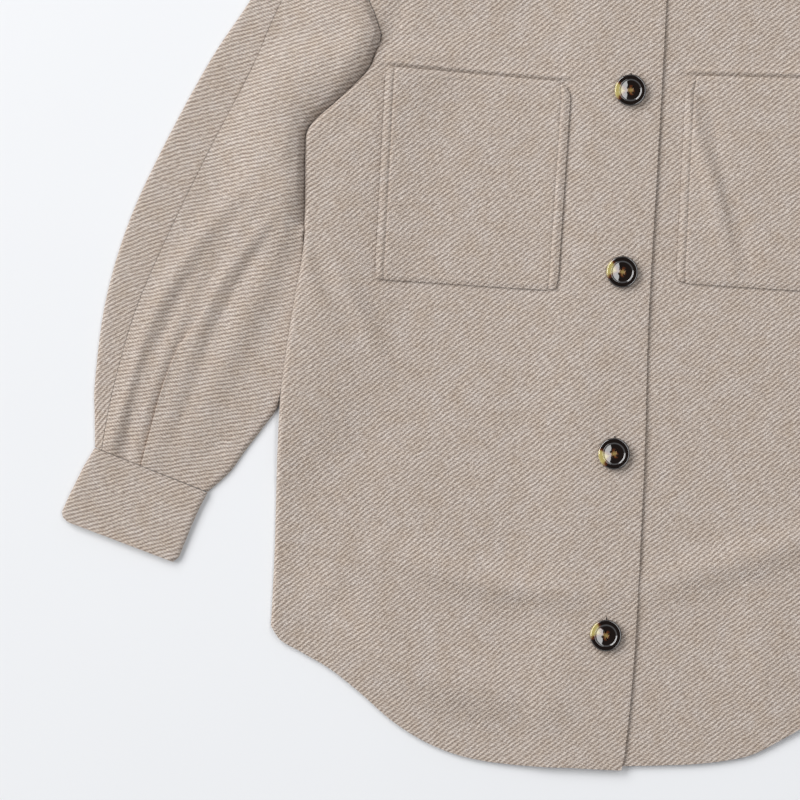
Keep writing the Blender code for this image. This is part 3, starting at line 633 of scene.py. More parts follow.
def front_wall(settings, front, lapped):
    """One front: flat on the back, turned down to the floor along its side edge."""
    spacing = settings.spacing / MM
    plan, low_along, high_along = body_plan(front, FRONT_NECK, spacing)
    band = band_plan(front.band, spread(0.0, PLACKET_FOOT, BAND_SPACING)[:-1], low_along, high_along)
    edge = at_heights(front.edge, band[:, 0, 1])
    flap = straight((0.0,), (1.0,), spread(0.0, 1.0, BAND_SPACING / FLAP_WIDTH))[::-1][:-1]
    flap = edge[:, None] * flap + band[:, :1] * (1 - flap)
    places = np.concatenate([flap, band, plan[:, :-1]], axis=1)
    low = body_lift(places) + LAYER + ridges(places, front.folds)
    if lapped:
        low = low + lap_rise(places)
    extra = relief(settings, places, front.creases) - pocket_groove(places, front)
    outer, inner = wall_points(places, low, front.side, extra=extra)
    last = places.shape[1] - 1
    outs, ins = side_turn(front, plan[:, -1], plan[:, -2], outer[:, -1, 2], len(low_along) - 1,
                          settings.turn_steps)
    outer = np.concatenate([outer, outs], axis=1)
    inner = np.concatenate([inner, ins], axis=1)
    return Wall(outer, inner, unrolled(outer, 0, last), False)


def back_wall(settings):
    """The back, flat on the floor under both fronts, from one side fold to the other."""
    spacing = settings.back_spacing / MM
    halves = []
    for front in (RIGHT, LEFT):
        plan, low_along, high_along = body_plan(front, BACK_NECK, spacing)
        plan[0, :, 1] += BACK_HEM_TUCK
        plan[len(low_along):, -2] = plan[len(low_along):, -1]
        plan = plan[:, :-1]
        plan[..., 0] *= front.side
        halves.append((plan, low_along, high_along))
    low_along, high_along = halves[0][1:]
    outs = spread(-PLACKET_FOOT, PLACKET_FOOT, spacing)[1:-1]
    centre = band_plan(BACK_BANDS, outs, low_along, high_along)
    places = np.concatenate([halves[0][0][:, ::-1], centre, halves[1][0]], axis=1)
    flat = np.stack([np.abs(places[..., 0]), places[..., 1]], axis=-1)
    outer, inner = wall_points(places, body_lift(flat), 1)
    return Wall(outer, inner, outer[..., :2] * (-1, 1), False)


def crown(first, last, shares):
    """Places on the sleeve's crown between two of its heights."""
    return at_heights(SLEEVE_CROWN, first[1] + np.array(shares) * (last[1] - first[1]))


def sleeve_lines(rows):
    """The sleeve's four lines at every row, each starting on the crown."""
    lines = [share(line, rows)
             for line in (SLEEVE_INNER, SLEEVE_PLEAT, SLEEVE_SEAM, SLEEVE_OUTER)]
    for line in lines:
        line[0] = at_heights(SLEEVE_CROWN, [line[0, 1]])[0]
    return lines


def sleeve_block(left, right, across, rows):
    """Places between two of the sleeve's lines, armhole to cuff."""
    return filled(crown(left[0], right[0], across), straight(left[-1], right[-1], across),
                  left, right, across, rows)


def sleeve_top(places, inner, rows):
    """Height of the sleeve's upper face, raised in folds clear of the body's edge."""
    rows = rows[:, None]
    away = np.linalg.norm(places - inner[:, None], axis=-1)
    clear = smooth((away - FOLDS_CLEAR * (1 - rows)) / FOLDS_CLEAR_RUN)
    return SLEEVE_TOP + ridges(places, SLEEVE_FOLDS) * clear * smooth(rows / 0.08)


def underarm_roll(places):
    """How far the sleeve rolls up beside the body's edge, over a valley along that edge."""
    line = dense([place for place in SIDE if place[1] > ROLL_BODY_START] + ARMHOLE[1:4])
    apart = np.linalg.norm(places[..., None, :] - line, axis=-1).min(axis=-1)
    out, up = places[..., 0], places[..., 1]
    strength = np.interp(up, *zip(*UNDERARM_ROLL)) * (out > np.interp(up, line[:, 1], line[:, 0]))
    slope = 0.65 * smooth(apart / ROLL_STEEP) + 0.35 * smooth(apart / ROLL_CREST)
    return ROLL_RISE * strength * slope * smooth((ROLL_REACH - apart) / (ROLL_REACH - ROLL_CREST))


def turned_rows(edges, inward, middles, halves, angles, side):
    """Outer and inner places of every row where a sleeve's wall turns over."""
    outs, ins = [], []
    for row in range(len(edges)):
        pairs = [turned(edges[row], inward[row], middles[row], halves[row], EDGE_TURN, CLOTH,
                        angle, side) for angle in angles]
        outs.append([pair[0] for pair in pairs])
        ins.append([pair[1] for pair in pairs])
    return np.array(outs), np.array(ins)


def unit(vectors):
    """The directions of rows of vectors."""
    return vectors / np.linalg.norm(vectors, axis=1)[:, None]


def upper_sleeve_wall(settings, side):
    """The upper sleeve, from the seam near the outer fold to the fold under the arm."""
    spacing = settings.spacing / MM
    rows = spread(0.0, 1.0, spacing / SLEEVE_LENGTH)
    inner, pleat, seam = sleeve_lines(rows)[:3]
    deepening = smooth((rows - PLEAT_START) / (1 - PLEAT_START))[:, None]
    foot = pleat + unit(seam - pleat) * PLEAT_STEP
    foot[0] = crown(pleat[0], seam[0], [PLEAT_STEP / PLEAT_TO_SEAM])[0]
    across = np.concatenate([[0.0, 0.02, 0.045], spread(0.08, 1.0, spacing / PLEAT_BLOCK_WIDTH)])
    seam_side = sleeve_block(foot, seam, across, rows)[:, ::-1]
    turn = unit(pleat - inner) * EDGE_TURN
    start = inner + turn
    start[0] = crown(inner[0], pleat[0], [EDGE_TURN / CROWN_TO_PLEAT])[0]
    arm_side = sleeve_block(pleat, start, spread(0.0, 1.0, spacing / ARM_BLOCK_WIDTH), rows)
    places = np.concatenate([seam_side, arm_side], axis=1)
    columns = seam_side.shape[1]
    top = sleeve_top(places, inner, rows) + underarm_roll(places)
    apart = np.linalg.norm(places - pleat[:, None], axis=-1)
    top[:, columns:] += (PLEAT_DEPTH * deepening * smooth(1 - apart / PLEAT_FADE))[:, columns:]
    extra = relief(settings, places, SLEEVE_CREASES, *SLEEVE_RELIEF)
    crisp = smooth((rows - 0.78) / 0.14)[:, None]
    extra[:, :columns] -= (1.1 * crisp * np.exp(-(apart / 1.5) ** 2))[:, :columns]
    beside = np.arange(places.shape[1]) < columns
    extra -= 0.5 * deepening * np.exp(-(apart / 7.0) ** 2) * beside
    outer, under = wall_points(places, top - CLOTH, side, extra=extra)
    angles = [90.0 * k / settings.turn_steps for k in range(1, settings.turn_steps + 1)]
    outs, ins = turned_rows(inner, turn / EDGE_TURN, np.zeros(len(rows)), outer[:, -1, 2], angles,
                            side)
    last = outer.shape[1] - 1
    outer = np.concatenate([outer, outs], axis=1)
    flat = grain(unrolled(outer, 0, last), UPPER_TILT, rows, side)
    return Wall(outer, np.concatenate([under, ins], axis=1), flat, False)


def under_sleeve_wall(settings, side):
    """The under sleeve: a strip on top outside the seam, round the outer fold, and the underside."""
    spacing = settings.spacing / MM
    rows = spread(0.0, 1.0, spacing / SLEEVE_LENGTH)
    inner, pleat, seam, outer_fold = sleeve_lines(rows)
    inward = unit(seam - outer_fold)
    run = unit(np.gradient(seam, axis=0))
    strip_start = seam + np.column_stack([-run[:, 1], run[:, 0]]) * SEAM
    turn_start = outer_fold + inward * EDGE_TURN
    strip_start[0] = crown(seam[0], outer_fold[0], [2 * SEAM / SEAM_TO_FOLD])[0]
    turn_start[0] = crown(seam[0], outer_fold[0], [1 - EDGE_TURN / SEAM_TO_FOLD])[0]
    strip = sleeve_block(strip_start, turn_start, spread(0.0, 1.0, spacing / STRIP_WIDTH), rows)
    extra = relief(settings, strip, SLEEVE_CREASES, *SLEEVE_RELIEF)
    outer, under = wall_points(strip, sleeve_top(strip, inner, rows) - CLOTH, side, extra=extra)
    half = outer[:, -1, 2] / 2
    steps = 2 * settings.turn_steps
    outs, ins = turned_rows(outer_fold, inward, half, half,
                            [180.0 * k / steps for k in range(1, steps)], side)
    stop = inner + unit(pleat - inner) * EDGE_TURN
    stop[0] = crown(inner[0], pleat[0], [EDGE_TURN / CROWN_TO_PLEAT])[0]
    across = spread(0.0, 1.0, spacing / SLEEVE_FLOOR_WIDTH)
    floor = sleeve_block(stop, turn_start, across, rows)[:, ::-1]
    floor_inner, floor_outer = wall_points(floor, np.zeros(floor.shape[:2]), side)
    last = outer.shape[1] - 1
    outer = np.concatenate([outer, outs, floor_outer], axis=1)
    flat = grain(unrolled(outer, 0, last), UNDER_TILT, rows, side)
    return Wall(outer, np.concatenate([under, ins, floor_inner], axis=1), flat, False)


def ring_row(left, right, top_line, low_line, high, low, radius, cloth, steps, side):
    """Outer and inner places round one flattened ring: over, round, back under, and round."""
    outs = [(side * place[0], place[1], z) for place, z in zip(top_line, high)]
    ins = [(side * place[0], place[1], z - cloth) for place, z in zip(top_line, high)]
    turns = [(right, top_line[-1], high[-1], low[0], range(1, steps))]
    if left is not None:
        turns.append((left, top_line[0], high[0], low[-1], range(steps - 1, 0, -1)))
    for number, (edge, inside, z_high, z_low, order) in enumerate(turns):
        toward = np.array(inside) - np.array(edge)
        inward = toward / np.linalg.norm(toward)
        for k in order:
            o, i = turned(np.array(edge), inward, (z_high + z_low) / 2, (z_high - z_low) / 2,
                          radius, cloth, 180.0 * k / steps, side)
            outs.append(o)
            ins.append(i)
        if number == 0:
            outs += [(side * place[0], place[1], z) for place, z in zip(low_line, low)]
            ins += [(side * place[0], place[1], z + cloth) for place, z in zip(low_line, low)]
    return outs, ins


def cuff_wall(settings, side):
    """A closed cuff, a flattened tube of stiffened cloth."""
    spacing = settings.spacing / MM / 2
    steps = 2 * settings.turn_steps
    rows = spread(0.0, 1.0, spacing / CUFF_LENGTH)
    known = [row.along for row in CUFF]
    across = spread(0.0, 1.0, spacing / CUFF_WIDTH)
    outer, inner = [], []
    for at in rows:
        ends = []
        for line in ([row.outer for row in CUFF], [row.inner for row in CUFF]):
            ends.append(np.array([np.interp(at, known, [p[k] for p in line]) for k in range(2)]))
        a, b = ends
        reach = EDGE_TURN / np.linalg.norm(b - a)
        line = straight(a, b, reach + across * (1 - 2 * reach))
        rim = smooth(at * CUFF_LENGTH / 3.0) * smooth((1 - at) * CUFF_LENGTH / 3.0)
        slow = relief(settings, line, [], high=0.0)
        outs, ins = ring_row(a, b, line, line[::-1], CUFF_TOP + slow * rim,
                             np.zeros(len(line)), EDGE_TURN, CUFF_CLOTH, steps, side)
        outer.append(outs)
        inner.append(ins)
    outer, inner = np.array(outer), np.array(inner)
    top = len(across)
    lead = top // 2 + steps
    outer, inner = (np.roll(grid, lead, axis=1) for grid in (outer, inner))
    ring = np.concatenate([outer, outer[:, :1]], axis=1)
    flat = grain(unrolled(ring, lead, lead + top - 1), CUFF_TILT, rows, side)
    return Wall(outer, inner, flat, True)


def half_ring(settings, front_first, front_last, back_first, back_last, radius, rows):
    """Front and back places of one half of a collar piece, clear of its side fold, and the fold."""
    spacing = settings.spacing / MM
    ahead = spread(0.0, 1.0, spacing / COLLAR_FRONT_LENGTH)
    behind = spread(0.0, 1.0, spacing / COLLAR_BACK_LENGTH)
    fold = straight(front_first[-1], front_last[-1], rows)
    front = filled(share(front_first, ahead), share(front_last, ahead),
                   straight(front_first[0], front_last[0], rows), fold, ahead, rows)
    back = filled(share(back_first, behind), share(back_last, behind),
                  fold, straight(back_first[-1], back_last[-1], rows), behind, rows)
    for block in (front[:, ::-1], back):
        near = np.abs(block - fold[:, None])[..., 0] < radius + TURN_CLEAR
        block[..., 0] = np.where(near, np.minimum(block[..., 0], fold[:, :1] - radius),
                                 block[..., 0])
    return front, back, fold


def collar_wall(settings, front, back, fold, front_high, back_low, radius):
    """A collar piece: the right front half, round the neck behind, and the left front half."""
    outer, inner = [], []
    for row in range(len(fold)):
        outs, ins = [], []
        for side in (-1, 1):
            o, i = ring_row(None, fold[row], front[row], back[row], front_high[row],
                            np.full(back.shape[1], back_low), radius, CLOTH,
                            2 * settings.turn_steps, side)
            if side == 1:
                o, i = o[:-1][::-1], i[:-1][::-1]
            outs += o
            ins += i
        outer.append(outs)
        inner.append(ins)
    outer, inner = np.array(outer), np.array(inner)
    steps = np.linalg.norm(np.diff(outer, axis=1), axis=-1).mean(axis=0)
    around = np.concatenate([[0.0], np.cumsum(steps)])
    around = np.tile(around - around[len(around) // 2], (len(outer), 1))
    down = np.cumsum(np.linalg.norm(np.diff(outer, axis=0), axis=-1), axis=0)
    down = np.concatenate([np.zeros((1, outer.shape[1])), down], axis=0)
    return Wall(outer, inner, np.stack([around, -down], axis=-1), False)


def stand_wall(settings):
    """The collar stand, inside the neck: its back half lies on the back, its front half above."""
    rows = spread(0.0, 1.0, settings.spacing / MM / STAND_HEIGHT)
    front, back, fold = half_ring(settings, STAND_FRONT_SEAM, STAND_FRONT_TOP, STAND_BACK_SEAM,
                                  STAND_BACK_TOP, STAND_TURN, rows)
    high = np.full(front.shape[:2], 2 * LAYER + CLOTH)
    return collar_wall(settings, front, back, fold, high, LAYER, STAND_TURN)


def leaf_wall(settings):
    """The collar leaf, over the stand and down on the fronts, with its back under the stand."""
    rows = spread(0.0, 1.0, settings.spacing / MM / LEAF_HEIGHT)
    front, back, fold = half_ring(settings, LEAF_FRONT_FOLD, LEAF_FRONT_EDGE, LEAF_BACK_FOLD,
                                  LEAF_BACK_EDGE, LEAF_TURN, rows)
    down = smooth((rows[:, None] - LEAF_DROP_START) / LEAF_DROP_RUN)
    raised = np.maximum(1 - down, smooth((LEAF_OVER_PLACKET - front[..., 0]) / PLACKET_RUN))
    high = 2 * LAYER + CLOTH + LAYER * raised
    return collar_wall(settings, front, back, fold, high, 0.0, LEAF_TURN)


def pocket_groove(places, front):
    """How far the front is pressed in beside a pocket's stitched edge, and raised at its mouth."""
    low_in, low_out, high_in, high_out = front.pocket
    groove = np.zeros(places.shape[:-1])
    for start, end, depth in ((low_in, high_in, GROOVE_INNER_SIDE),
                              (low_out, high_out, GROOVE_OUTER_SIDE),
                              (low_in, low_out, GROOVE_FOOT), (high_in, high_out, GROOVE_MOUTH)):
        line = straight(start, end, np.linspace(0.0, 1.0, 80))
        apart = np.linalg.norm(places[..., None, :] - line, axis=-1).min(axis=-1)
        groove = np.maximum(groove, depth * np.exp(-(apart / GROOVE_WIDTH) ** 2))
    mouth = straight(high_in, high_out, np.linspace(0.02, 0.98, 80)) + (0.0, MOUTH_LIP_UP)
    apart = np.linalg.norm(places[..., None, :] - mouth, axis=-1).min(axis=-1)
    return groove - MOUTH_LIP_RISE * np.exp(-(apart / MOUTH_LIP_WIDTH) ** 2)


def hemmed(length, fine, coarse):
    """Shares of a pocket's length, close together over the hem at each end."""
    hem = spread(0.0, POCKET_FINE, fine)
    middle = spread(POCKET_FINE, length - POCKET_FINE, coarse)[1:-1]
    return np.concatenate([hem, middle, length - hem[::-1]]) / length


def pressed(apart, line):
    """How deep a line along a pocket's edge is pressed in, at distances from that edge."""
    return line.depth * np.exp(-((apart - line.at) / line.width) ** 2)


def pocket_wall(settings, front):
    """A patch pocket, a thickness above the front it is sewn on, with stitched side hems."""
    fine, coarse = settings.pocket_spacing / MM, settings.spacing / MM
    corners = [np.array(corner, float) for corner in front.pocket]
    low_in, low_out, high_in, high_out = corners
    across = hemmed(POCKET_WIDTH, fine, coarse)
    along = hemmed(POCKET_LENGTH, fine, coarse)
    places = filled(straight(low_in, low_out, across), straight(high_in, high_out, across),
                    straight(low_in, high_in, along), straight(low_out, high_out, along),
                    across, along)
    middle = places.mean(axis=(0, 1))
    for corner, pinch in zip(corners, CORNER_PINCHES):
        apart = np.linalg.norm(places - corner, axis=-1)[..., None]
        inward = (middle - corner) / np.linalg.norm(middle - corner)
        places = places + pinch * np.exp(-(apart / PINCH_REACH) ** 2) * inward
    low = body_lift(places + POCKET_SPAN) + ridges(places, front.folds) + 2 * LAYER
    if front is RIGHT:
        low = low + lap_rise(places)
    side_edge = np.minimum(across, 1 - across)[None, :] * POCKET_WIDTH
    end_edge = np.minimum(along, 1 - along)[:, None] * POCKET_LENGTH
    hem = (HEM_RISE * smooth((HEM_WIDTH - side_edge) / HEM_FADE) - pressed(side_edge, SIDE_STITCH)
           - pressed(end_edge, END_STITCH) - pressed(np.minimum(side_edge, end_edge), POCKET_RIM))
    extra = relief(settings, places, front.creases) + hem
    outer, inner = wall_points(places, low, front.side, extra=extra)
    return Wall(outer, inner, outer[..., :2], False)


def shell_faces(wall):
    """Corner numbers of each face round a wall's two grids, and the corners' flat cloth places."""
    rows, columns = wall.outer.shape[:2]
    spans = columns if wall.closed else columns - 1
    r, c = (grid.ravel() for grid in np.mgrid[:rows - 1, :spans])
    row_spans, column_spans = np.arange(rows - 1), np.arange(spans)
    rings = [
        [(0, r, c), (0, r, c + 1), (0, r + 1, c + 1), (0, r + 1, c)],
        [(1, r + 1, c), (1, r + 1, c + 1), (1, r, c + 1), (1, r, c)],
    ]
    for row, turn in ((0, 1), (rows - 1, -1)):
        rings.append([(0, row, column_spans + 1), (0, row, column_spans),
                      (1, row, column_spans), (1, row, column_spans + 1)][::turn])
    if not wall.closed:
        for column, turn in ((0, 1), (columns - 1, -1)):
            rings.append([(0, row_spans, column), (0, row_spans + 1, column),
                          (1, row_spans + 1, column), (1, row_spans, column)][::turn])
    faces, flats = [], []
    for ring in rings:
        index, flat = [], []
        for layer, row, column in ring:
            row, column = np.broadcast_arrays(row, column)
            index.append(layer * rows * columns + row * columns + column % columns)
            flat.append(wall.cloth[row, column])
        faces.append(np.stack(index, axis=-1))
        flats.append(np.stack(flat, axis=1))
    return np.concatenate(faces), np.concatenate(flats)


def wall_object(name, wall, rim):
    """A closed shell between the two grids of a wall, with the flat cloth as its texture places."""
    faces, flats = shell_faces(wall)
    points = np.concatenate([wall.outer.reshape(-1, 3), wall.inner.reshape(-1, 3)])
    points = (points - (0.0, GARMENT_CENTRE_UP, 0.0)) * MM
    mesh = bpy.data.meshes.new(name)
    mesh.from_pydata(points.tolist(), [], faces.tolist())
    layer = mesh.uv_layers.new(name="cloth")
    layer.data.foreach_set("uv", (flats * MM).astype(np.float32).ravel())
    outward(mesh)
    piece = bpy.data.objects.new(name, mesh)
    bpy.context.scene.collection.objects.link(piece)
    rounding = piece.modifiers.new("rounded rim", "BEVEL")
    rounding.width = rim
    rounding.segments = 3
    rounding.limit_method = "ANGLE"
    rounding.angle_limit = math.radians(55)
    return piece


def outward(mesh):
    """Turns every face of a closed mesh outwards and shades it smoothly."""
    work = bmesh.new()
    work.from_mesh(mesh)
    bmesh.ops.recalc_face_normals(work, faces=work.faces)
    if work.calc_volume(signed=True) < 0:
        bmesh.ops.reverse_faces(work, faces=work.faces)
    work.to_mesh(mesh)
    work.free()
    mesh.shade_smooth()


def node(tree, kind, inputs=(), **settings):
    """A new shader node. Each input is a value or the output of another node."""
    made = tree.nodes.new(kind)
    for name, value in settings.items():
        setattr(made, name, value)
    for key, value in dict(inputs).items():
        if isinstance(value, bpy.types.NodeSocket):
            tree.links.new(value, made.inputs[key])
        else:
            made.inputs[key].default_value = value
    return made


def figure(tree, operation, *values, clamp=False):
    """The result of a sum on shader values."""
    made = node(tree, "ShaderNodeMath", enumerate(values), operation=operation, use_clamp=clamp)
    return made.outputs[0]


def noise(tree, vector, scale, detail=2.0, roughness=0.5):
    """Soft noise from 0 to 1."""
    made = node(tree, "ShaderNodeTexNoise", {"Vector": vector, "Scale": scale, "Detail": detail,
                                             "Roughness": roughness})
    return made.outputs["Fac"]


def around_zero(tree, value, size):
    """A 0 to 1 value as one that swings the size to both sides of 0."""
    return figure(tree, "MULTIPLY", figure(tree, "SUBTRACT", value, 0.5), 2 * size)


def ramp(tree, value, stops):
    """Colours along a value: pairs of place and colour."""
    made = node(tree, "ShaderNodeValToRGB", {"Fac": value})
    elements = made.color_ramp.elements
    for number, (place, colour) in enumerate(stops):
        element = elements[number] if number < 2 else elements.new(place)
        element.position = place
        element.color = (*colour, 1.0)
    return made.outputs["Color"]


def multiplied(tree, first, second):
    """One colour tinted by another."""
    return node(tree, "ShaderNodeMix", {0: 1.0, 6: first, 7: second}, data_type="RGBA",
                blend_type="MULTIPLY").outputs[2]


def new_material(name, roughness):
    """A material with its node tree and its shader."""
    material = bpy.data.materials.new(name)
    material.use_nodes = True
    shader = material.node_tree.nodes["Principled BSDF"]
    shader.inputs["Roughness"].default_value = roughness
    return material, material.node_tree, shader


def twill_tone(tree, cloth, settings):
    """Lightness of the twill from 0 to 1: its lines, the dashes and floats on them, and the fuzz."""
    lines = node(tree, "ShaderNodeVectorRotate",
                 {"Vector": cloth, "Angle": -settings.angle}, rotation_type="Z_AXIS").outputs[0]
    parts = node(tree, "ShaderNodeSeparateXYZ", {0: lines})
    along, across = parts.outputs[0], parts.outputs[1]
    slow, quick = (around_zero(tree, noise(tree, cloth, wander.scale), wander.reach)
                   for wander in WANDERS)
    across = figure(tree, "ADD", across, figure(tree, "ADD", slow, quick))
    turn = figure(tree, "MULTIPLY", across, 2 * math.pi * MM / settings.pitch)
    rib = figure(tree, "MULTIPLY_ADD", figure(tree, "SINE", turn), 0.5, 0.5)
    stretched = node(tree, "ShaderNodeCombineXYZ",
                     {0: figure(tree, "MULTIPLY", along, DASH_STRETCH), 1: across, 2: 0.0})
    dashes = noise(tree, stretched.outputs[0], DASH_SCALE)
    slant = figure(tree, "ADD", figure(tree, "MULTIPLY", along, FLOAT_ALONG),
                   figure(tree, "MULTIPLY", across, FLOAT_ACROSS))
    floats = figure(tree, "SINE", figure(tree, "MULTIPLY", slant, 2 * math.pi / FLOAT_PITCH))
    fuzz = noise(tree, cloth, FUZZ_SCALE, detail=3.0, roughness=0.7)
    tone = figure(tree, "MULTIPLY", rib, RIB_TONE)
    for pattern, weight in ((dashes, DASH_TONE), (floats, FLOAT_TONE), (fuzz, FUZZ_TONE)):
        tone = figure(tree, "ADD", tone, figure(tree, "MULTIPLY", pattern, weight))
    return figure(tree, "SUBTRACT", tone, TONE_LOSS, clamp=True)


def twill_material(settings):
    """Napped two-colour wool twill, drawn on the flat cloth."""
    known = bpy.data.materials.get("napped_wool_twill")
    if known:
        return known
    material, tree, shader = new_material("napped_wool_twill", 0.95)
    places = node(tree, "ShaderNodeUVMap", uv_map="cloth").outputs["UV"]
    cloth = node(tree, "ShaderNodeVectorMath", {0: places, "Scale": 1 / MM},
                 operation="SCALE").outputs[0]
    tone = twill_tone(tree, cloth, settings)
    colour = ramp(tree, tone, [(0.14, settings.groove_colour), (0.82, settings.rib_colour),
                               (0.46, settings.middle_colour)])
    patches = noise(tree, cloth, PATCH_SCALE, detail=4.0, roughness=0.6)
    moved = node(tree, "ShaderNodeVectorMath", {0: cloth, 1: FIBRE_SHIFT}, operation="ADD")
    fibres = noise(tree, moved.outputs[0], FIBRE_SCALE)
    for pattern, tints in ((patches, PATCH_TINTS), (fibres, FIBRE_TINTS)):
        colour = multiplied(tree, colour, ramp(tree, pattern, tints))
    tree.links.new(colour, shader.inputs["Base Color"])
    bump = node(tree, "ShaderNodeBump", {"Strength": 0.8, "Distance": settings.relief,
                                         "Height": tone})
    tree.links.new(bump.outputs[0], shader.inputs["Normal"])
    shader.inputs["Sheen Weight"].default_value = settings.nap
    shader.inputs["Sheen Roughness"].default_value = 0.6
    shader.inputs["Specular IOR Level"].default_value = 0.2
    return material


def resin_material(settings):
    """Dark polished resin with amber patches that fade into each other."""
    material, tree, shader = new_material("mottled_resin", 0.1)
    places = node(tree, "ShaderNodeTexCoord").outputs["Object"]
    parts = node(tree, "ShaderNodeSeparateXYZ", {0: places})
    mottle = noise(tree, places, MOTTLE_SCALE, detail=3.0, roughness=0.6)
    outward_run = figure(tree, "MULTIPLY", parts.outputs[0], AMBER_OUTWARD)
    aside = figure(tree, "MULTIPLY", figure(tree, "ABSOLUTE", parts.outputs[1]), AMBER_ASIDE)
    wedge = figure(tree, "ADD", outward_run, aside)
    from_middle = node(tree, "ShaderNodeVectorMath", {0: places}, operation="LENGTH").outputs[1]
    glow = figure(tree, "MULTIPLY_ADD", from_middle, AMBER_FROM_MIDDLE, AMBER_IN_MIDDLE)
    amber = figure(tree, "ADD", figure(tree, "MULTIPLY", mottle, MOTTLE_SHARE),
                   figure(tree, "MAXIMUM", wedge, glow))
    colour = ramp(tree, amber, [(0.32, settings.dark_colour), (0.66, settings.amber_colour),
                                (0.46, BROWN)])
    tree.links.new(colour, shader.inputs["Base Color"])
    shader.inputs["Coat Weight"].default_value = 1.0
    shader.inputs["Coat Roughness"].default_value = 0.03
    shader.inputs["Coat IOR"].default_value = 2.35
    shader.inputs["Specular IOR Level"].default_value = 0.0
    return material


def thread_material(name, bright):
    """Thread of the given colour, with fine uneven strands: sewing thread, or a buttonhole's
    near-black ring of painted slit shade.
    """
    material, tree, shader = new_material(name, 0.7)
    places = node(tree, "ShaderNodeTexCoord").outputs["Object"]
    strands = noise(tree, places, 2500.0, detail=2.0)
    dark = [0.55 * value for value in bright]
    colour = ramp(tree, strands, [(0.3, dark), (0.7, bright)])
    tree.links.new(colour, shader.inputs["Base Color"])
    return material


def place_piece(context, name, wall):
    """Builds one piece of cloth over its CAD node and hides the node."""
    settings = context.scene.jacket_cloth
    piece = wall_object(f"{name}_cloth", wall, settings.rim)
    piece.data.materials.append(twill_material(context.scene.jacket_twill))
    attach(piece, "root")
    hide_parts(name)


def turned_blank(settings):
    """A button turned from its profile, still without holes."""
    work = bmesh.new()
    profile = share(BUTTON_PROFILE, np.linspace(0.0, 1.0, PROFILE_STEPS)) * MM
    profile[0, 0] = profile[-1, 0] = 0.0
    verts = [work.verts.new((radius, 0.0, height)) for radius, height in profile]
    edges = [work.edges.new(pair) for pair in zip(verts, verts[1:])]
    bmesh.ops.spin(work, geom=verts + edges, cent=(0, 0, 0), axis=(0, 0, 1), angle=2 * math.pi,
                   steps=settings.sides, use_merge=True, use_duplicate=False)
    bmesh.ops.remove_doubles(work, verts=work.verts, dist=0.005 * MM)
    mesh = bpy.data.meshes.new("turned button")
    work.to_mesh(mesh)
    work.free()
    outward(mesh)
    return mesh


def hole_pins(settings):
    """Four round pins where a button's holes go."""
    pins = bmesh.new()
    for quarter in range(4):
        angle = math.pi / 2 * quarter + math.pi / 4
        made = bmesh.ops.create_cone(pins, cap_ends=True, segments=HOLE_SIDES,
                                     radius1=settings.hole_radius, radius2=settings.hole_radius,
                                     depth=HOLE_CUT_DEPTH * MM)
        bmesh.ops.translate(pins, verts=made["verts"],
                            vec=(settings.hole_out * math.cos(angle),
                                 settings.hole_out * math.sin(angle), 0.0))
    mesh = bpy.data.meshes.new("pins")
    pins.to_mesh(mesh)
    pins.free()
    return mesh


def button_mesh(settings):
    """A turned button with four holes through it."""
    blank = bpy.data.objects.new("turned button", turned_blank(settings))
    cutter = bpy.data.objects.new("pins", hole_pins(settings))
    for thing in (blank, cutter):
        bpy.context.scene.collection.objects.link(thing)
    cut = blank.modifiers.new("holes", "BOOLEAN")
    cut.operation = "DIFFERENCE"
    cut.object = cutter
    bpy.context.view_layer.update()
    depsgraph = bpy.context.evaluated_depsgraph_get()
    finished = bpy.data.meshes.new_from_object(blank.evaluated_get(depsgraph))
    for thing in (blank, cutter):
        bpy.data.objects.remove(thing, do_unlink=True)
    finished.shade_smooth()
    finished.set_sharp_from_angle(angle=math.radians(40))
    return finished


def tube_mesh(name, lines, radius, sides=8):
    """Round threads along the given lines of places, in metres."""
    work = bmesh.new()
    for line in lines:
        points = [Vector(p) for p in line]
        rings = []
        for k, point in enumerate(points):
            along = (points[min(k + 1, len(points) - 1)] - points[max(k - 1, 0)]).normalized()
            aside = along.orthogonal().normalized()
            above = along.cross(aside)
            rings.append([work.verts.new(point + radius * (math.cos(a) * aside + math.sin(a) * above))
                          for a in np.linspace(0, 2 * math.pi, sides, endpoint=False)])
        for first, second in zip(rings, rings[1:]):
            for k in range(sides):
                n = (k + 1) % sides
                work.faces.new((first[k], first[n], second[n], second[k]))
        work.faces.new(rings[0][::-1])
        work.faces.new(rings[-1])
    mesh = bpy.data.meshes.new(name)
    work.to_mesh(mesh)
    work.free()
    outward(mesh)
    return mesh


def button_place(number):
    """Where a button is sewn, on the cloth of the right front, in metres."""
    return Vector((BUTTON_START + number * BUTTON_DRIFT,
                   BUTTON_FIRST_UP + number * BUTTON_SPACING - GARMENT_CENTRE_UP, 3 * LAYER)) * MM


def floor_object(settings):
    """The wide pale floor under the cloth."""
    material, tree, shader = new_material("pale_floor", 0.9)
    places = node(tree, "ShaderNodeTexCoord").outputs["Object"]
    bright = settings.floor_colour
    dull = [FLOOR_SHADE * value for value in bright]
    paper = ramp(tree, noise(tree, places, 3.0), [(0.3, dull), (0.7, bright)])
    tree.links.new(paper, shader.inputs["Base Color"])
    work = bmesh.new()
    bmesh.ops.create_grid(work, x_segments=1, y_segments=1, size=FLOOR_HALF)
    mesh = bpy.data.meshes.new("floor")
    work.to_mesh(mesh)
    work.free()
    mesh.materials.append(material)
    floor = bpy.data.objects.new("floor", mesh)
    floor.location = (0.0, 0.0, -FLOOR_DROP)
    return floor


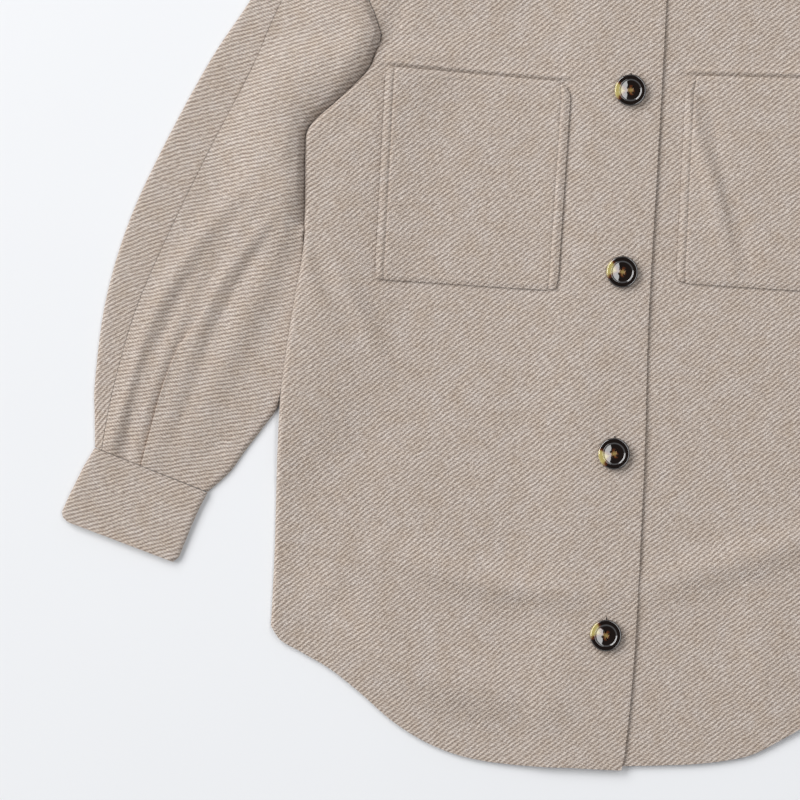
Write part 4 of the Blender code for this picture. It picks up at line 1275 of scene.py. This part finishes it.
def studio_world(settings):
    """Even light all round, with a dark patch overhead that the buttons mirror."""
    world = bpy.data.worlds.new("studio")
    world.use_nodes = True
    tree = world.node_tree
    background = tree.nodes["Background"]
    direction = node(tree, "ShaderNodeTexCoord").outputs["Generated"]
    height = node(tree, "ShaderNodeSeparateXYZ", {0: direction}).outputs[2]
    tree.links.new(ramp(tree, height, SKY_STOPS), background.inputs["Color"])
    background.inputs["Strength"].default_value = settings.sky
    return world


def lamp_object(lamp, power):
    """One soft rectangular light, turned towards the cloth."""
    light = bpy.data.lights.new(lamp.name, "AREA")
    light.shape = "RECTANGLE"
    light.size = lamp.across
    light.size_y = lamp.height
    light.energy = power
    made = bpy.data.objects.new(lamp.name, light)
    made.location = lamp.place
    aim = Vector((LAMP_AIM_X, lamp.aim_y, 0.0)) - Vector(lamp.place)
    made.rotation_euler = aim.to_track_quat("-Z", "Y").to_euler()
    return made


def camera_object(settings):
    """The camera straight above the part that the photo shows."""
    camera = bpy.data.cameras.new("camera")
    camera.lens = settings.lens
    camera.sensor_width = SENSOR
    eye = bpy.data.objects.new("camera", camera)
    eye.location = (*EYE, settings.view_width * settings.lens / SENSOR)
    eye.rotation_euler = (0.0, 0.0, settings.view_turn)
    return eye


class JacketOperator(bpy.types.Operator):
    """Shared by the operators below."""

    bl_options = {"REGISTER", "UNDO"}


class JACKET_OT_back(JacketOperator):
    """Builds the back, flat on the floor"""

    bl_idname = "jacket.back"
    bl_label = "Back"

    def execute(self, context):
        place_piece(context, "back", back_wall(context.scene.jacket_cloth))
        return {"FINISHED"}


class JACKET_OT_fronts(JacketOperator):
    """Builds both fronts, the right one lapped over the left"""

    bl_idname = "jacket.fronts"
    bl_label = "Fronts"

    def execute(self, context):
        settings = context.scene.jacket_cloth
        place_piece(context, "front_right", front_wall(settings, RIGHT, lapped=True))
        place_piece(context, "front_left", front_wall(settings, LEFT, lapped=False))
        return {"FINISHED"}


class JACKET_OT_sleeves(JacketOperator):
    """Builds the upper and under sleeves"""

    bl_idname = "jacket.sleeves"
    bl_label = "Sleeves"

    def execute(self, context):
        settings = context.scene.jacket_cloth
        for word, side in SIDES:
            place_piece(context, f"sleeve_under_{word}", under_sleeve_wall(settings, side))
            place_piece(context, f"sleeve_upper_{word}", upper_sleeve_wall(settings, side))
        return {"FINISHED"}


class JACKET_OT_cuffs(JacketOperator):
    """Builds the cuffs"""

    bl_idname = "jacket.cuffs"
    bl_label = "Cuffs"

    def execute(self, context):
        for word, side in SIDES:
            place_piece(context, f"cuff_{word}", cuff_wall(context.scene.jacket_cloth, side))
        return {"FINISHED"}


class JACKET_OT_collar(JacketOperator):
    """Builds the collar's stand and leaf"""

    bl_idname = "jacket.collar"
    bl_label = "Collar"

    def execute(self, context):
        settings = context.scene.jacket_cloth
        place_piece(context, "collar_stand", stand_wall(settings))
        place_piece(context, "collar_leaf", leaf_wall(settings))
        return {"FINISHED"}


class JACKET_OT_pockets(JacketOperator):
    """Builds the chest pockets"""

    bl_idname = "jacket.pockets"
    bl_label = "Pockets"

    def execute(self, context):
        settings = context.scene.jacket_cloth
        for word, front in (("right", RIGHT), ("left", LEFT)):
            place_piece(context, f"pocket_{word}", pocket_wall(settings, front))
        return {"FINISHED"}


class JACKET_OT_buttons(JacketOperator):
    """Builds the buttons and the thread through their holes"""

    bl_idname = "jacket.buttons"
    bl_label = "Buttons"

    def execute(self, context):
        settings = context.scene.jacket_buttons
        resin = resin_material(settings)
        thread = thread_material("sewing_thread", settings.thread_colour)
        mesh = button_mesh(settings)
        mesh.materials.clear()
        mesh.materials.append(resin)
        reach = settings.hole_out / math.sqrt(2)
        for number in range(BUTTON_COUNT):
            turn = Matrix.Rotation(math.radians(BUTTON_TURNS[number]), 4, "Z")
            button = bpy.data.objects.new(f"button_{number + 1}_resin", mesh.copy())
            button.matrix_world = Matrix.Translation(button_place(number)) @ turn
            context.scene.collection.objects.link(button)
            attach(button, "root")
            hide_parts(f"button_{number + 1}")
            lines = [[(aside, t * reach, z * MM) for t, z in THREAD_LINE]
                     for aside in (-reach, reach)]
            stitches = bpy.data.objects.new(f"button_{number + 1}_thread",
                                            tube_mesh("thread", lines, settings.thread / 2))
            stitches.data.materials.append(thread)
            stitches.matrix_world = button.matrix_world.copy()
            context.scene.collection.objects.link(stitches)
            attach(stitches, "root")
        return {"FINISHED"}


class JACKET_OT_buttonholes(JacketOperator):
    """Draws each buttonhole as a thin dark ring of painted slit shade, showing a little past its
    button
    """

    bl_idname = "jacket.buttonholes"
    bl_label = "Buttonholes"

    def execute(self, context):
        # The ring's near-black colour is painted shade of the slit
        thread = thread_material("buttonhole_thread", context.scene.jacket_buttons.slit_shade_colour)
        for number in range(BUTTON_COUNT):
            centre = button_place(number)
            top = BUTTONHOLE_TOPS[number]
            turn = np.linspace(0.0, 2 * math.pi, 48, endpoint=False)
            half = BUTTONHOLE_LENGTH / 2
            x = BUTTONHOLE_HALF_WIDTH * np.cos(turn)
            y = top - half + half * np.sign(np.sin(turn)) * np.abs(np.sin(turn)) ** 0.35
            ring = [(a * MM, b * MM, 0.0) for a, b in zip(x, y)]
            mesh = tube_mesh("buttonhole", [ring + ring[:1]], BUTTONHOLE_SHADE_RADIUS * MM, sides=6)
            hole = bpy.data.objects.new(f"buttonhole_{number + 1}", mesh)
            hole.location = centre - Vector((0.0, 0.0, BUTTONHOLE_SINK * MM))
            mesh.materials.append(thread)
            context.scene.collection.objects.link(hole)
            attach(hole, "root")
        return {"FINISHED"}


class JACKET_OT_stage(JacketOperator):
    """Lays the floor and sets the lights and the camera"""

    bl_idname = "jacket.stage"
    bl_label = "Stage"

    def execute(self, context):
        settings = context.scene.jacket_stage
        scene = context.scene
        floor = floor_object(settings)
        scene.collection.objects.link(floor)
        scene.world = studio_world(settings)
        for lamp in LAMPS:
            power = getattr(settings, f"{lamp.name}_power")
            scene.collection.objects.link(lamp_object(lamp, power))
        eye = camera_object(settings)
        scene.collection.objects.link(eye)
        scene.camera = eye
        scene.view_settings.view_transform = "Standard"
        return {"FINISHED"}


class JACKET_PT_panel(bpy.types.Panel):
    """Sizes, colours and build steps of the jacket."""

    bl_idname = "JACKET_PT_panel"
    bl_label = "Shirt Jacket"
    bl_space_type = "VIEW_3D"
    bl_region_type = "UI"
    bl_category = "Jacket"

    def draw(self, context):
        layout = self.layout
        for word in ("cloth", "twill", "buttons", "stage"):
            box = layout.box()
            box.label(text=word.capitalize())
            group = getattr(context.scene, f"jacket_{word}")
            for name in group.__annotations__:
                box.prop(group, name)
        for operator in OPERATORS:
            layout.operator(operator.bl_idname)


GROUPS = {
    "jacket_cloth": JacketClothSettings,
    "jacket_twill": JacketTwillSettings,
    "jacket_buttons": JacketButtonSettings,
    "jacket_stage": JacketStageSettings,
}
OPERATORS = [JACKET_OT_back, JACKET_OT_fronts, JACKET_OT_sleeves, JACKET_OT_cuffs,
             JACKET_OT_collar, JACKET_OT_pockets, JACKET_OT_buttons, JACKET_OT_buttonholes,
             JACKET_OT_stage]


def register():
    """Registers the settings, the operators and the panel."""
    for name, group in GROUPS.items():
        bpy.utils.register_class(group)
        setattr(bpy.types.Scene, name, PointerProperty(type=group))
    for kind in (*OPERATORS, JACKET_PT_panel):
        bpy.utils.register_class(kind)


def unregister():
    """Takes everything registered back out."""
    for kind in (JACKET_PT_panel, *reversed(OPERATORS)):
        bpy.utils.unregister_class(kind)
    for name, group in reversed(GROUPS.items()):
        delattr(bpy.types.Scene, name)
        bpy.utils.unregister_class(group)


def main():
    """Builds everything in order."""
    register()
    bpy.ops.jacket.back()
    bpy.ops.jacket.fronts()
    bpy.ops.jacket.sleeves()
    bpy.ops.jacket.cuffs()
    bpy.ops.jacket.collar()
    bpy.ops.jacket.pockets()
    bpy.ops.jacket.buttons()
    bpy.ops.jacket.buttonholes()
    bpy.ops.jacket.stage()


if __name__ == "__main__":
    main()
